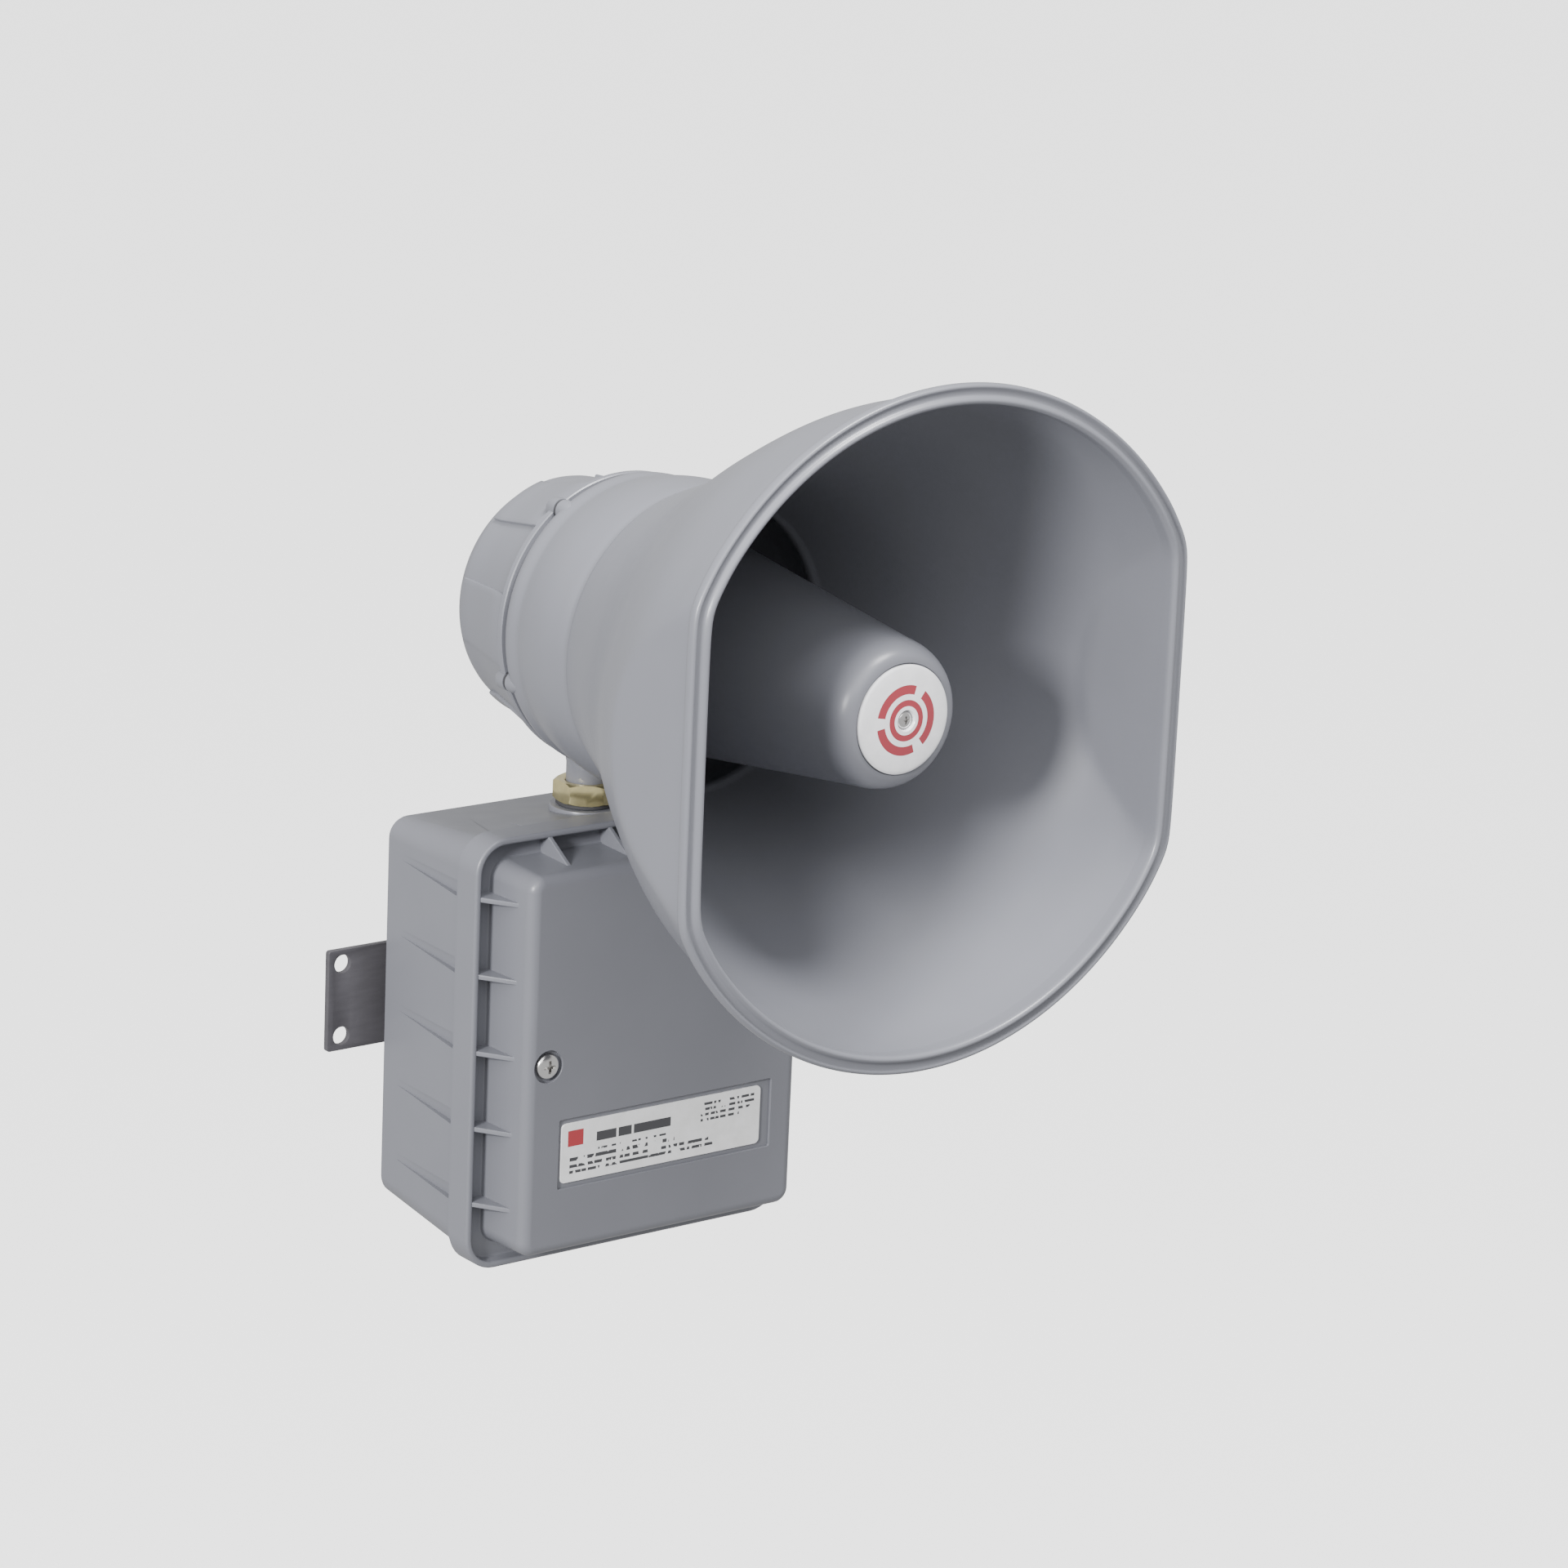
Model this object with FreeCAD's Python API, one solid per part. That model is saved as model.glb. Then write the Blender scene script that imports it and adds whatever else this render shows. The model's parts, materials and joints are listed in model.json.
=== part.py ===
import FreeCAD, Part
import math
import os
from FreeCAD import Vector

# Weatherproof amplified horn on a box: millimetres, +Z up, front faces -Y.
# The origin is the middle of the wall plane, between the four bracket holes.

# ---- wall bracket: a hat-section strip that stands the box off the wall ----
STRIP_T = 2.5
BRACKET_HALF_W = 83.5
BRACKET_H = 40.0
WEB_HALF_W = 52.5
STANDOFF = 14.0
WALL_HOLE_X = 77.2
WALL_HOLE_Z = 14.3
WALL_HOLE_R = 3.55
STRIP_SCREW_X = 35.0
STRIP_SCREW_Z = 10.0

# ---- amplifier box ----
BOX_Z = -1.5
TUB_BACK_Y = -STANDOFF
TUB_FRONT_Y = -75.0
TUB_BACK_HALF = (66.2, 75.0)
TUB_FRONT_HALF = (70.05, 80.5)
TUB_CORNER_R = 11.0
TUB_BACK_CORNER_R = 8.0
TUB_WALL = 3.2
TUB_LIP_HALF = (72.3, 82.8)
TUB_LIP_Y = (-72.0, -70.0)
LIP_CORNER_R = 13.0
GASKET_T = 1.5

# ---- cover: a raised panel inside a skirted lip ----
COVER_LIP_HALF = (73.0, 83.5)
COVER_LIP_Y = (-84.0, -72.0)
SKIRT_T = 2.6
CHANNEL_Y = (-79.0, -76.5)
PANEL_Y = -105.0
PANEL_HALF = (62.5, 73.5)
PANEL_DRAFT = 0.8
PANEL_CORNER_R = 6.0
PANEL_EDGE_R = 4.0
PANEL_WALL = 3.0
GUSSET_PITCH = 29.5
GUSSET_T = 1.8
GUSSET_RISE = 13.7
TOP_GUSSET_PITCH = 27.0
LABEL_SIZE = (92.0, 23.2)
LABEL_Z = -36.4
LABEL_T = 0.6
RECESS_DEPTH = 0.9
RECESS_MARGIN = (1.2, 4.6, 1.9)
COVER_SCREW_X = 53.0
COVER_SCREW_Z = -1.0
COVER_SCREW_R = 2.4
COVER_SCREW_HEAD = (5.0, 2.8)
COUNTERBORE = (6.3, 1.8)

# ---- conduit entry in the floor and the earth screw on the back wall ----
CONDUIT_X = 34.0
CONDUIT_Y = -46.0
CONDUIT_R = 10.5
CONDUIT_PAD_R = 17.0
GROUND_X = -34.0
GROUND_Z = -68.0

# ---- neck: threaded stem, seal and locknut on the swivel axis ----
NECK_Y = -49.0
STEM_R = 8.0
FIT = 0.06
STEM_END_Z = 56.0
PAD_TOP_Z = 78.8
PAD_R = 14.0
SEAL_R = 11.6
SEAL_T = 1.5
NUT_AF = 22.2
NUT_H = 8.0
NUT_TURN = 35.0
WIRE_BORE_R = 4.5

# ---- horn ----
HORN_Z = 155.0
SEAM_Y = -69.0
HOUSING_BACK_Y = -20.0
HOUSING_WALL = 3.2
MOUTH_R = 122.0
MOUTH_HALF_W = 108.8
MOUTH_Y = -258.7
MOUTH_CORNER_R = 34.0
RIM_DEPTH = 7.7
BELL_WALL = 3.5
CONE_BACK_Y = -112.0
CONE_BACK_R = 40.5
CONE_FRONT_Y = -222.0
CONE_FRONT_R = 27.4
NOSE_Y = -235.0
NOSE_FLAT_R = 20.9
CONE_WALL = 2.5
MEDALLION_R = 19.6
LAND_COUNT = 6
LAND_START = -14.0
LAND_SPAN = 30.0
SEAM_SCREW_ANGLES = (56.0, 124.0, 200.0, 340.0)
SEAM_SCREW_R = 53.0
BOSS_R = 4.0
HOUSING_BOSS = 5.0
BELL_BOSS = 7.0
BARREL_BACK_Y = SEAM_Y - GASKET_T
FLARE = [(-117.0, 59.5), (-150.0, 73.5), (-185.0, 93.3),
         (-215.0, 108.0), (-240.0, 115.5), (-252.0, 118.5)]

# ---- re-entrant insides: throat plate, tone tube and its screw hub ----
PLATE_Y = (-75.0, -71.0)
TUBE_BACK_Y = -75.0
TUBE_FRONT_Y = -204.0
TUBE_BACK_R = 8.0
TUBE_FRONT_R = 19.0
TUBE_WALL = 2.0
HUB_Y = (-226.0, -212.0)
FIN_T = 2.5

# ---- amplifier board ----
BOARD_SIZE = (104.0, 96.0)
BOARD_Z = -18.0
BOARD_Y = -30.0
BOARD_T = 1.6
BOARD_HOLE = (46.0, 42.0)
BOARD_FACE = BOARD_Y - BOARD_T
GAIN_X = 39.0
GAIN_Z = 0.5
FUSE_X = 24.0
FUSE_Z = -26.0
TERMINALS = 8
TERMINAL_X = -11.0
TERMINAL_PITCH = 6.0
TERMINAL_Z = 20.0

# ---- speaker lead, parted where the neck enters the box ----
LEAD_R = 1.6
LEAD_SPLIT_Z = 52.0

HORN_AXIS = Vector(0, 1, 0)
HORN_POINT = Vector(0, 0, HORN_Z)


def box(x0, x1, y0, y1, z0, z1):
    return Part.makeBox(x1 - x0, y1 - y0, z1 - z0, Vector(x0, y0, z0))


def rod_y(x, z, r, y0, y1):
    """Cylinder along Y from y0 to y1."""
    return Part.makeCylinder(r, y1 - y0, Vector(x, y0, z), Vector(0, 1, 0))


def rod_z(x, y, r, z0, z1):
    return Part.makeCylinder(r, z1 - z0, Vector(x, y, z0))


def ring_y(r_out, r_in, y0, y1, z=HORN_Z):
    return rod_y(0, z, r_out, y0, y1).cut(rod_y(0, z, r_in, y0 - 1, y1 + 1))


def rounded_outline(half, r, y, z=BOX_Z):
    """Closed rectangle wire with round corners in the plane at y."""
    hx, hz = half
    c = r * (1 - math.sqrt(0.5))
    edges = []
    corners = [(1, 1), (-1, 1), (-1, -1), (1, -1)]
    for i, (sx, sz) in enumerate(corners):
        side = Vector(sx * hx, y, z + sz * (hz - r))
        cap = Vector(sx * (hx - r), y, z + sz * hz)
        mid = Vector(sx * (hx - c), y, z + sz * (hz - c))
        first, last = (side, cap) if i % 2 == 0 else (cap, side)
        if edges:
            edges.append(Part.LineSegment(edges[-1].valueAt(edges[-1].LastParameter), first).toShape())
        edges.append(Part.Arc(first, mid, last).toShape())
    start = edges[0].valueAt(edges[0].FirstParameter)
    edges.append(Part.LineSegment(edges[-1].valueAt(edges[-1].LastParameter), start).toShape())
    return Part.Wire(edges)


def rounded_prism(half, r, y0, y1, z=BOX_Z):
    face = Part.Face(rounded_outline(half, r, y0, z))
    return face.extrude(Vector(0, y1 - y0, 0))


def drafted_prism(half0, r0, y0, half1, r1, y1):
    wires = [rounded_outline(half0, r0, y0), rounded_outline(half1, r1, y1)]
    return Part.makeLoft(wires, True, True)


def grow(half, d):
    return (half[0] + d, half[1] + d)


def revolve(points, angle=360.0, start=0.0):
    """Turn a closed outline of (y, radius) points about the horn axis."""
    verts = [Vector(r, y, HORN_Z) for y, r in points]
    solid = Part.Face(Part.makePolygon(verts + verts[:1])).revolve(HORN_POINT, HORN_AXIS, angle)
    if start:
        solid.rotate(HORN_POINT, HORN_AXIS, start)
    return solid


def polar(radius, degrees):
    """Point at a radius and angle about the horn axis; 90 degrees is straight up."""
    a = math.radians(degrees)
    return radius * math.cos(a), HORN_Z + radius * math.sin(a)


def pan_screw_y(x, z, r, head_r, head_h, y_face, length, into=1):
    """Pan-head cross-recess screw on a face at y; into=1 runs towards +Y."""
    if into > 0:
        shank = rod_y(x, z, r, y_face, y_face + length)
        head = rod_y(x, z, head_r, y_face - head_h, y_face)
        cross_y = (y_face - head_h - 1, y_face - head_h * 0.45)
    else:
        shank = rod_y(x, z, r, y_face - length, y_face)
        head = rod_y(x, z, head_r, y_face, y_face + head_h)
        cross_y = (y_face + head_h * 0.45, y_face + head_h + 1)
    screw = shank.fuse(head)
    w = head_r * 0.13
    arm = head_r * 0.6
    for dx, dz in ((arm, w), (w, arm)):
        screw = screw.cut(box(x - dx, x + dx, cross_y[0], cross_y[1], z - dz, z + dz))
    return screw.removeSplitter()


def tub_top_z(y):
    t = (y - TUB_FRONT_Y) / (TUB_BACK_Y - TUB_FRONT_Y)
    return BOX_Z + TUB_FRONT_HALF[1] + t * (TUB_BACK_HALF[1] - TUB_FRONT_HALF[1])


def tub_floor_z(y):
    return 2 * BOX_Z - tub_top_z(y)


def tub_half_w(y):
    t = (y - TUB_FRONT_Y) / (TUB_BACK_Y - TUB_FRONT_Y)
    return TUB_FRONT_HALF[0] + t * (TUB_BACK_HALF[0] - TUB_FRONT_HALF[0])


# ---------------------------------------------------------------- enclosure
def enclosure_tub():
    inner_front = grow(TUB_FRONT_HALF, -TUB_WALL)
    inner_back = grow(TUB_BACK_HALF, -TUB_WALL)
    outer = drafted_prism(TUB_FRONT_HALF, TUB_CORNER_R, TUB_FRONT_Y,
                          TUB_BACK_HALF, TUB_BACK_CORNER_R, TUB_BACK_Y)
    lip = rounded_prism(TUB_LIP_HALF, LIP_CORNER_R, TUB_LIP_Y[0], TUB_LIP_Y[1])
    pad = rod_z(0, NECK_Y, PAD_R, tub_top_z(NECK_Y) - 4, PAD_TOP_Z)
    tub = outer.fuse(lip).fuse(pad)
    floor_z = tub_floor_z(CONDUIT_Y)
    tub = tub.fuse(rod_z(CONDUIT_X, CONDUIT_Y, CONDUIT_PAD_R, floor_z - 1.8, floor_z + 3.0))
    tub = tub.cut(drafted_prism(inner_front, TUB_CORNER_R - TUB_WALL, TUB_FRONT_Y,
                                inner_back, TUB_BACK_CORNER_R - TUB_WALL, TUB_BACK_Y - TUB_WALL))
    tub = tub.fuse(rod_z(CONDUIT_X, CONDUIT_Y, CONDUIT_PAD_R, floor_z + 1.0, floor_z + 5.0))
    hub = rod_z(0, NECK_Y, STEM_R + 5, PAD_TOP_Z - 18, tub_top_z(NECK_Y) - 1)
    tub = tub.fuse(hub)
    for side in (-1, 1):
        x, z = side * COVER_SCREW_X, COVER_SCREW_Z
        post = rod_y(x, z, 5.5, TUB_FRONT_Y + 1, TUB_BACK_Y - 1)
        web_x = sorted((x, side * (TUB_BACK_HALF[0] - 1)))
        web = box(web_x[0], web_x[1], TUB_FRONT_Y + 8, TUB_BACK_Y - 1, z - 1.2, z + 1.2)
        tub = tub.fuse(post).fuse(web)
        tub = tub.cut(rod_y(x, z, COVER_SCREW_R + FIT, TUB_FRONT_Y - 1, TUB_FRONT_Y + 22))
    for x, z in board_holes():
        tub = tub.fuse(rod_y(x, z, 5.0, TUB_BACK_Y - TUB_WALL - 3, TUB_BACK_Y - 1))
    for x, z in strip_screws():
        boss = rod_y(x, z, 5.0, TUB_BACK_Y - TUB_WALL - 5, TUB_BACK_Y - 1)
        tub = tub.fuse(boss).cut(rod_y(x, z, 2.05, TUB_BACK_Y - TUB_WALL - 3.5, TUB_BACK_Y + 1))
    tub = tub.cut(rod_z(0, NECK_Y, STEM_R + FIT, STEM_END_Z - 5, PAD_TOP_Z + 1))
    tub = tub.cut(rod_z(CONDUIT_X, CONDUIT_Y, CONDUIT_R + 3, floor_z - 5, floor_z + 9))
    back_face = TUB_BACK_Y - TUB_WALL
    tub = tub.cut(rod_y(GROUND_X, GROUND_Z, 2.0, back_face - 1, back_face + 2))
    for k in range(-2, 3):
        for side in (-1, 1):
            tub = tub.cut(side_groove(side, BOX_Z + 2.5 + k * GUSSET_PITCH))
    return tub.removeSplitter()


def side_groove(side, z):
    """Shallow wedge in the tub's side that is widest at the lip and runs out before the back."""
    wires = []
    for y, half_h, depth in ((TUB_LIP_Y[1], 3.0, 1.3), (TUB_BACK_Y - 8, 0.9, 0.02)):
        x = side * tub_half_w(y)
        ends = [Vector(x + side, y, z - half_h), Vector(x + side, y, z + half_h)]
        points = ends + [Vector(x - side * depth, y, z)]
        wires.append(Part.makePolygon(points + points[:1]))
    return Part.makeLoft(wires, True, True)


def conduit_hub():
    """Threaded bush in the tub's floor that takes a half-inch conduit."""
    floor_z = tub_floor_z(CONDUIT_Y)
    bush = rod_z(CONDUIT_X, CONDUIT_Y, CONDUIT_R + 3, floor_z - 4.8, floor_z + 9)
    collar = rod_z(CONDUIT_X, CONDUIT_Y, CONDUIT_R + 6, floor_z - 4.8, floor_z - 1.8)
    nut = rod_z(CONDUIT_X, CONDUIT_Y, CONDUIT_R + 6, floor_z + 5.0, floor_z + 8.2)
    bore = rod_z(CONDUIT_X, CONDUIT_Y, CONDUIT_R, floor_z - 9, floor_z + 19)
    return bush.fuse(collar).fuse(nut).cut(bore).removeSplitter()


def wall_bracket():
    h = BRACKET_H / 2
    plate = box(-WEB_HALF_W, WEB_HALF_W, -STANDOFF, -STANDOFF + STRIP_T, -h, h)
    for side in (-1, 1):
        xs = sorted((side * (WEB_HALF_W - STRIP_T), side * WEB_HALF_W))
        plate = plate.fuse(box(xs[0], xs[1], -STANDOFF, 0, -h, h))
        xs = sorted((side * (WEB_HALF_W - STRIP_T), side * BRACKET_HALF_W))
        plate = plate.fuse(box(xs[0], xs[1], -STRIP_T, 0, -h, h))
        for z in (-WALL_HOLE_Z, WALL_HOLE_Z):
            plate = plate.cut(rod_y(side * WALL_HOLE_X, z, WALL_HOLE_R, -5, 2))
    for x, z in strip_screws():
        plate = plate.cut(rod_y(x, z, 2.2, -STANDOFF - 1, 0))
    return plate.removeSplitter()


def strip_screws():
    return [(sx * STRIP_SCREW_X, sz * STRIP_SCREW_Z) for sx in (-1, 1) for sz in (-1, 1)]


def bracket_screws():
    face = -STANDOFF + STRIP_T
    return Part.makeCompound([
        pan_screw_y(x, z, 2.0, 4.0, 2.4, face, STRIP_T + 6, into=-1) for x, z in strip_screws()])


def cover_gasket():
    front_y = TUB_FRONT_Y - GASKET_T
    outer = rounded_prism(grow(TUB_FRONT_HALF, -0.2), TUB_CORNER_R, front_y, TUB_FRONT_Y)
    hole = rounded_prism(grow(TUB_FRONT_HALF, -TUB_WALL), TUB_CORNER_R - TUB_WALL, front_y - 5, 0)
    return outer.cut(hole)


# -------------------------------------------------------------------- cover
def gusset(at, along_x):
    """Triangular rib from the lip's inner edge up to the raised panel's wall."""
    half = COVER_LIP_HALF[1] if along_x else COVER_LIP_HALF[0]
    wall = PANEL_HALF[1] if along_x else PANEL_HALF[0]
    floor_y = CHANNEL_Y[0] + 0.5
    section = [(half - 1.5, floor_y), (half - 1.5, COVER_LIP_Y[0]), (half - 2.6, COVER_LIP_Y[0])]
    section += [(wall + 0.2, COVER_LIP_Y[0] - GUSSET_RISE), (wall - 1.0, floor_y)]
    ribs = []
    for side in (-1, 1):
        if along_x:
            pts = [Vector(at - GUSSET_T / 2, y, BOX_Z + side * d) for d, y in section]
            way = Vector(GUSSET_T, 0, 0)
        else:
            pts = [Vector(side * d, y, at - GUSSET_T / 2) for d, y in section]
            way = Vector(0, 0, GUSSET_T)
        ribs.append(Part.Face(Part.makePolygon(pts + pts[:1])).extrude(way))
    return ribs


def raised_panel():
    base = grow(PANEL_HALF, PANEL_DRAFT)
    base_r = PANEL_CORNER_R + PANEL_DRAFT
    body = drafted_prism(PANEL_HALF, PANEL_CORNER_R, PANEL_Y, base, base_r, CHANNEL_Y[1])
    front = [e for e in body.Edges if abs(e.BoundBox.YMax - PANEL_Y) < 0.01]
    return body.makeFillet(PANEL_EDGE_R, front)


def cover():
    skirt = rounded_prism(COVER_LIP_HALF, LIP_CORNER_R, COVER_LIP_Y[0], COVER_LIP_Y[1])
    skirt = skirt.cut(rounded_prism(grow(COVER_LIP_HALF, -SKIRT_T), LIP_CORNER_R - SKIRT_T, -90, -60))
    floor = rounded_prism(grow(COVER_LIP_HALF, -1.5), LIP_CORNER_R - 1.5, CHANNEL_Y[0], CHANNEL_Y[1])
    shell = skirt.fuse(floor).fuse(raised_panel())
    for k in range(-2, 3):
        for rib in gusset(BOX_Z + 2.5 + k * GUSSET_PITCH, False):
            shell = shell.fuse(rib)
    for k in (-1.5, -0.5, 0.5, 1.5):
        for rib in gusset(k * TOP_GUSSET_PITCH, True):
            shell = shell.fuse(rib)
    inner = grow(PANEL_HALF, -PANEL_WALL)
    shell = shell.cut(rounded_prism(inner, PANEL_CORNER_R - 2.5, PANEL_Y + PANEL_WALL, -70))
    for side in (-1, 1):
        x = side * COVER_SCREW_X
        shell = shell.fuse(rod_y(x, COVER_SCREW_Z, 6.3, PANEL_Y + 1, TUB_FRONT_Y - 1))
        shell = shell.cut(rod_y(x, COVER_SCREW_Z, COVER_SCREW_R + 0.3, PANEL_Y - 1, -60))
        shell = shell.cut(rod_y(x, COVER_SCREW_Z, COUNTERBORE[0], PANEL_Y - 1, PANEL_Y + COUNTERBORE[1]))
    w, h = LABEL_SIZE[0] / 2, LABEL_SIZE[1] / 2 + RECESS_MARGIN[2]
    x0, x1 = -w - RECESS_MARGIN[0], w + RECESS_MARGIN[1]
    recess = box(x0, x1, PANEL_Y - 1, PANEL_Y + RECESS_DEPTH, LABEL_Z - h, LABEL_Z + h)
    return shell.cut(recess).removeSplitter()


def label_plate():
    y = PANEL_Y + RECESS_DEPTH
    half = (LABEL_SIZE[0] / 2, LABEL_SIZE[1] / 2)
    return rounded_prism(half, 2.0, y - LABEL_T, y, LABEL_Z)


def cover_screws():
    face = PANEL_Y + COUNTERBORE[1]
    length = TUB_FRONT_Y + 18 - face
    return Part.makeCompound([
        pan_screw_y(side * COVER_SCREW_X, COVER_SCREW_Z, COVER_SCREW_R, *COVER_SCREW_HEAD, face, length)
        for side in (-1, 1)])


# --------------------------------------------------------------------- neck
def neck_seal():
    return rod_z(0, NECK_Y, SEAL_R, PAD_TOP_Z, PAD_TOP_Z + SEAL_T).cut(
        rod_z(0, NECK_Y, STEM_R + 0.1, PAD_TOP_Z - 1, PAD_TOP_Z + SEAL_T + 1))


def locknut():
    z0 = PAD_TOP_Z + SEAL_T
    corner = NUT_AF / math.sqrt(3)
    pts = []
    for k in range(7):
        a = math.radians(60 * k + NUT_TURN)
        pts.append(Vector(corner * math.cos(a), NECK_Y + corner * math.sin(a), z0))
    nut = Part.Face(Part.makePolygon(pts)).extrude(Vector(0, 0, NUT_H))
    dome = Part.makeCone(corner + 4, corner - 1.6, NUT_H + 0.01, Vector(0, NECK_Y, z0))
    nut = nut.common(dome)
    return nut.cut(rod_z(0, NECK_Y, STEM_R + FIT, z0 - 1, z0 + NUT_H + 1)).removeSplitter()


# ------------------------------------------------------------- rear housing
def housing_outline():
    """Outside of the rear housing as (y, radius), from the seam to the back."""
    back = [(SEAM_Y, 53.5), (-37.0, 46.5)]
    for k in range(1, 5):
        a = math.radians(22.5 * k)
        back.append((-33.5 + 13.5 * math.sin(a) - 2.5 * (1 - math.sin(a)), 35.5 + 10.3 * math.cos(a)))
    return back


def rear_housing():
    outside = housing_outline()
    shell = revolve([(SEAM_Y, 0)] + outside + [(HOUSING_BACK_Y, 0)])
    for k in range(LAND_COUNT):
        land = [(-66.0, 45.0), (-66.0, 54.1), (-36.0, 47.6), (-34.0, 44.0)]
        shell = shell.fuse(revolve(land, LAND_SPAN, 360.0 / LAND_COUNT * k + LAND_START))
    shell = shell.fuse(ring_y(55.0, 50.0, SEAM_Y, SEAM_Y + 3.0))
    for x, z in seam_points():
        shell = shell.fuse(rod_y(x, z, BOSS_R, SEAM_Y, SEAM_Y + HOUSING_BOSS))
    flare_z = PAD_TOP_Z + SEAL_T + NUT_H + 7
    shell = shell.fuse(rod_z(0, NECK_Y, STEM_R, STEM_END_Z, HORN_Z - 40))
    shell = shell.fuse(Part.makeCone(STEM_R, STEM_R + 7.5, 16.0, Vector(0, NECK_Y, flare_z)))
    inner_back = HOUSING_BACK_Y - HOUSING_WALL
    inside = [(SEAM_Y - 1, 0), (SEAM_Y - 1, 49.6), (-37.0, 43.0), (-28.0, 40.0)]
    inside += [(inner_back, 33.0), (inner_back, 0)]
    shell = shell.cut(revolve(inside))
    shell = shell.cut(rod_z(0, NECK_Y, WIRE_BORE_R, STEM_END_Z - 1, HORN_Z - 30))
    for x, z in seam_points():
        shell = shell.cut(rod_y(x, z, 1.7, SEAM_Y - 1, SEAM_Y + 8))
        shell = shell.cut(rod_y(x, z, 3.4, SEAM_Y + HOUSING_BOSS, SEAM_Y + HOUSING_BOSS + 15))
    return shell.removeSplitter()


def seam_points():
    return [polar(SEAM_SCREW_R, angle) for angle in SEAM_SCREW_ANGLES]


def seam_screws():
    face = SEAM_Y + HOUSING_BOSS
    return Part.makeCompound([
        pan_screw_y(x, z, 1.6, 3.1, 2.0, face, HOUSING_BOSS + 6.5, into=-1) for x, z in seam_points()])


def seam_gasket():
    ring = ring_y(53.0, 49.9, SEAM_Y - GASKET_T, SEAM_Y)
    for x, z in seam_points():
        ring = ring.fuse(rod_y(x, z, BOSS_R - 0.3, SEAM_Y - GASKET_T, SEAM_Y))
    ring = ring.cut(rod_y(0, HORN_Z, 49.9, SEAM_Y - 5, SEAM_Y + 5))
    for x, z in seam_points():
        ring = ring.cut(rod_y(x, z, 1.8, SEAM_Y - 5, SEAM_Y + 1))
    return ring.removeSplitter()


# --------------------------------------------------------------------- bell
def bell_solid(inset, y_front, rim):
    """Barrel and flare filled solid, with the outside moved in by inset."""
    back = [Vector(53.5 - inset, BARREL_BACK_Y, HORN_Z)]
    back.append(Vector(55.5 - inset, BARREL_BACK_Y - 4, HORN_Z))
    barrel_mid = Vector(58.0 - inset, -96.0, HORN_Z)
    flare = Part.BSplineCurve()
    flare.interpolate([Vector(r - inset, y, HORN_Z) for y, r in FLARE])
    start, end = flare.StartPoint, flare.EndPoint
    edges = [Part.LineSegment(Vector(0, BARREL_BACK_Y, HORN_Z), back[0]).toShape()]
    edges.append(Part.LineSegment(back[0], back[1]).toShape())
    edges.append(Part.Arc(back[1], barrel_mid, start).toShape())
    edges.append(flare.toShape())
    edge = Vector(end.x + rim, end.y, HORN_Z)
    front = Vector(end.x + rim, y_front, HORN_Z)
    if rim:
        edges.append(Part.LineSegment(end, edge).toShape())
    edges.append(Part.LineSegment(edge, front).toShape())
    centre = Vector(0, y_front, HORN_Z)
    edges.append(Part.LineSegment(front, centre).toShape())
    edges.append(Part.LineSegment(centre, Vector(0, BARREL_BACK_Y, HORN_Z)).toShape())
    return Part.Face(Part.Wire(edges)).revolve(HORN_POINT, HORN_AXIS, 360)


def mouth_prism(inset, y0, y1):
    """Prism of the mouth's outline: a circle with two flat sides and round corners."""
    r = MOUTH_R - inset
    w = MOUTH_HALF_W - inset
    disc = rod_y(0, HORN_Z, r, y0, y1)
    prism = disc.common(box(-w, w, y0, y1, HORN_Z - r, HORN_Z + r))
    corners = []
    for e in prism.Edges:
        v = [p.Point for p in e.Vertexes]
        if len(v) == 2 and abs(v[0].x - v[1].x) < 0.01 and abs(v[0].z - v[1].z) < 0.01:
            if abs(abs(v[0].x) - w) < 0.01:
                corners.append(e)
    return prism.makeFillet(MOUTH_CORNER_R, corners)


def horn_bell():
    outer = bell_solid(0, MOUTH_Y, MOUTH_R - FLARE[-1][1])
    body_prism = mouth_prism(MOUTH_R - FLARE[-1][1], -253.0, BARREL_BACK_Y)
    rim_prism = mouth_prism(0, MOUTH_Y, MOUTH_Y + RIM_DEPTH)
    inner = bell_solid(BELL_WALL, MOUTH_Y - 1, 0)
    inner = inner.common(mouth_prism(MOUTH_R - FLARE[-1][1] + BELL_WALL, MOUTH_Y - 1, BARREL_BACK_Y))
    bell = outer.common(body_prism.fuse(rim_prism)).cut(inner)
    for x, z in seam_points():
        boss = rod_y(x, z, BOSS_R, BARREL_BACK_Y - BELL_BOSS, BARREL_BACK_Y)
        bell = bell.fuse(boss)
    bell = bell.cut(rod_y(0, HORN_Z, 49.9, BARREL_BACK_Y - 16, BARREL_BACK_Y + 1))
    for x, z in seam_points():
        bell = bell.cut(rod_y(x, z, 1.6 + FIT, BARREL_BACK_Y - 5.5, BARREL_BACK_Y + 1))
    return bell.removeSplitter()


# -------------------------------------------------------- re-entrant insides
def cone_radius(y):
    t = (y - CONE_BACK_Y) / (CONE_FRONT_Y - CONE_BACK_Y)
    return CONE_BACK_R + t * (CONE_FRONT_R - CONE_BACK_R)


def throat_plate():
    plate = rod_y(0, HORN_Z, 49.8, PLATE_Y[0], PLATE_Y[1])
    return plate.cut(rod_y(0, HORN_Z, TUBE_BACK_R, -90, -60))


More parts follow.
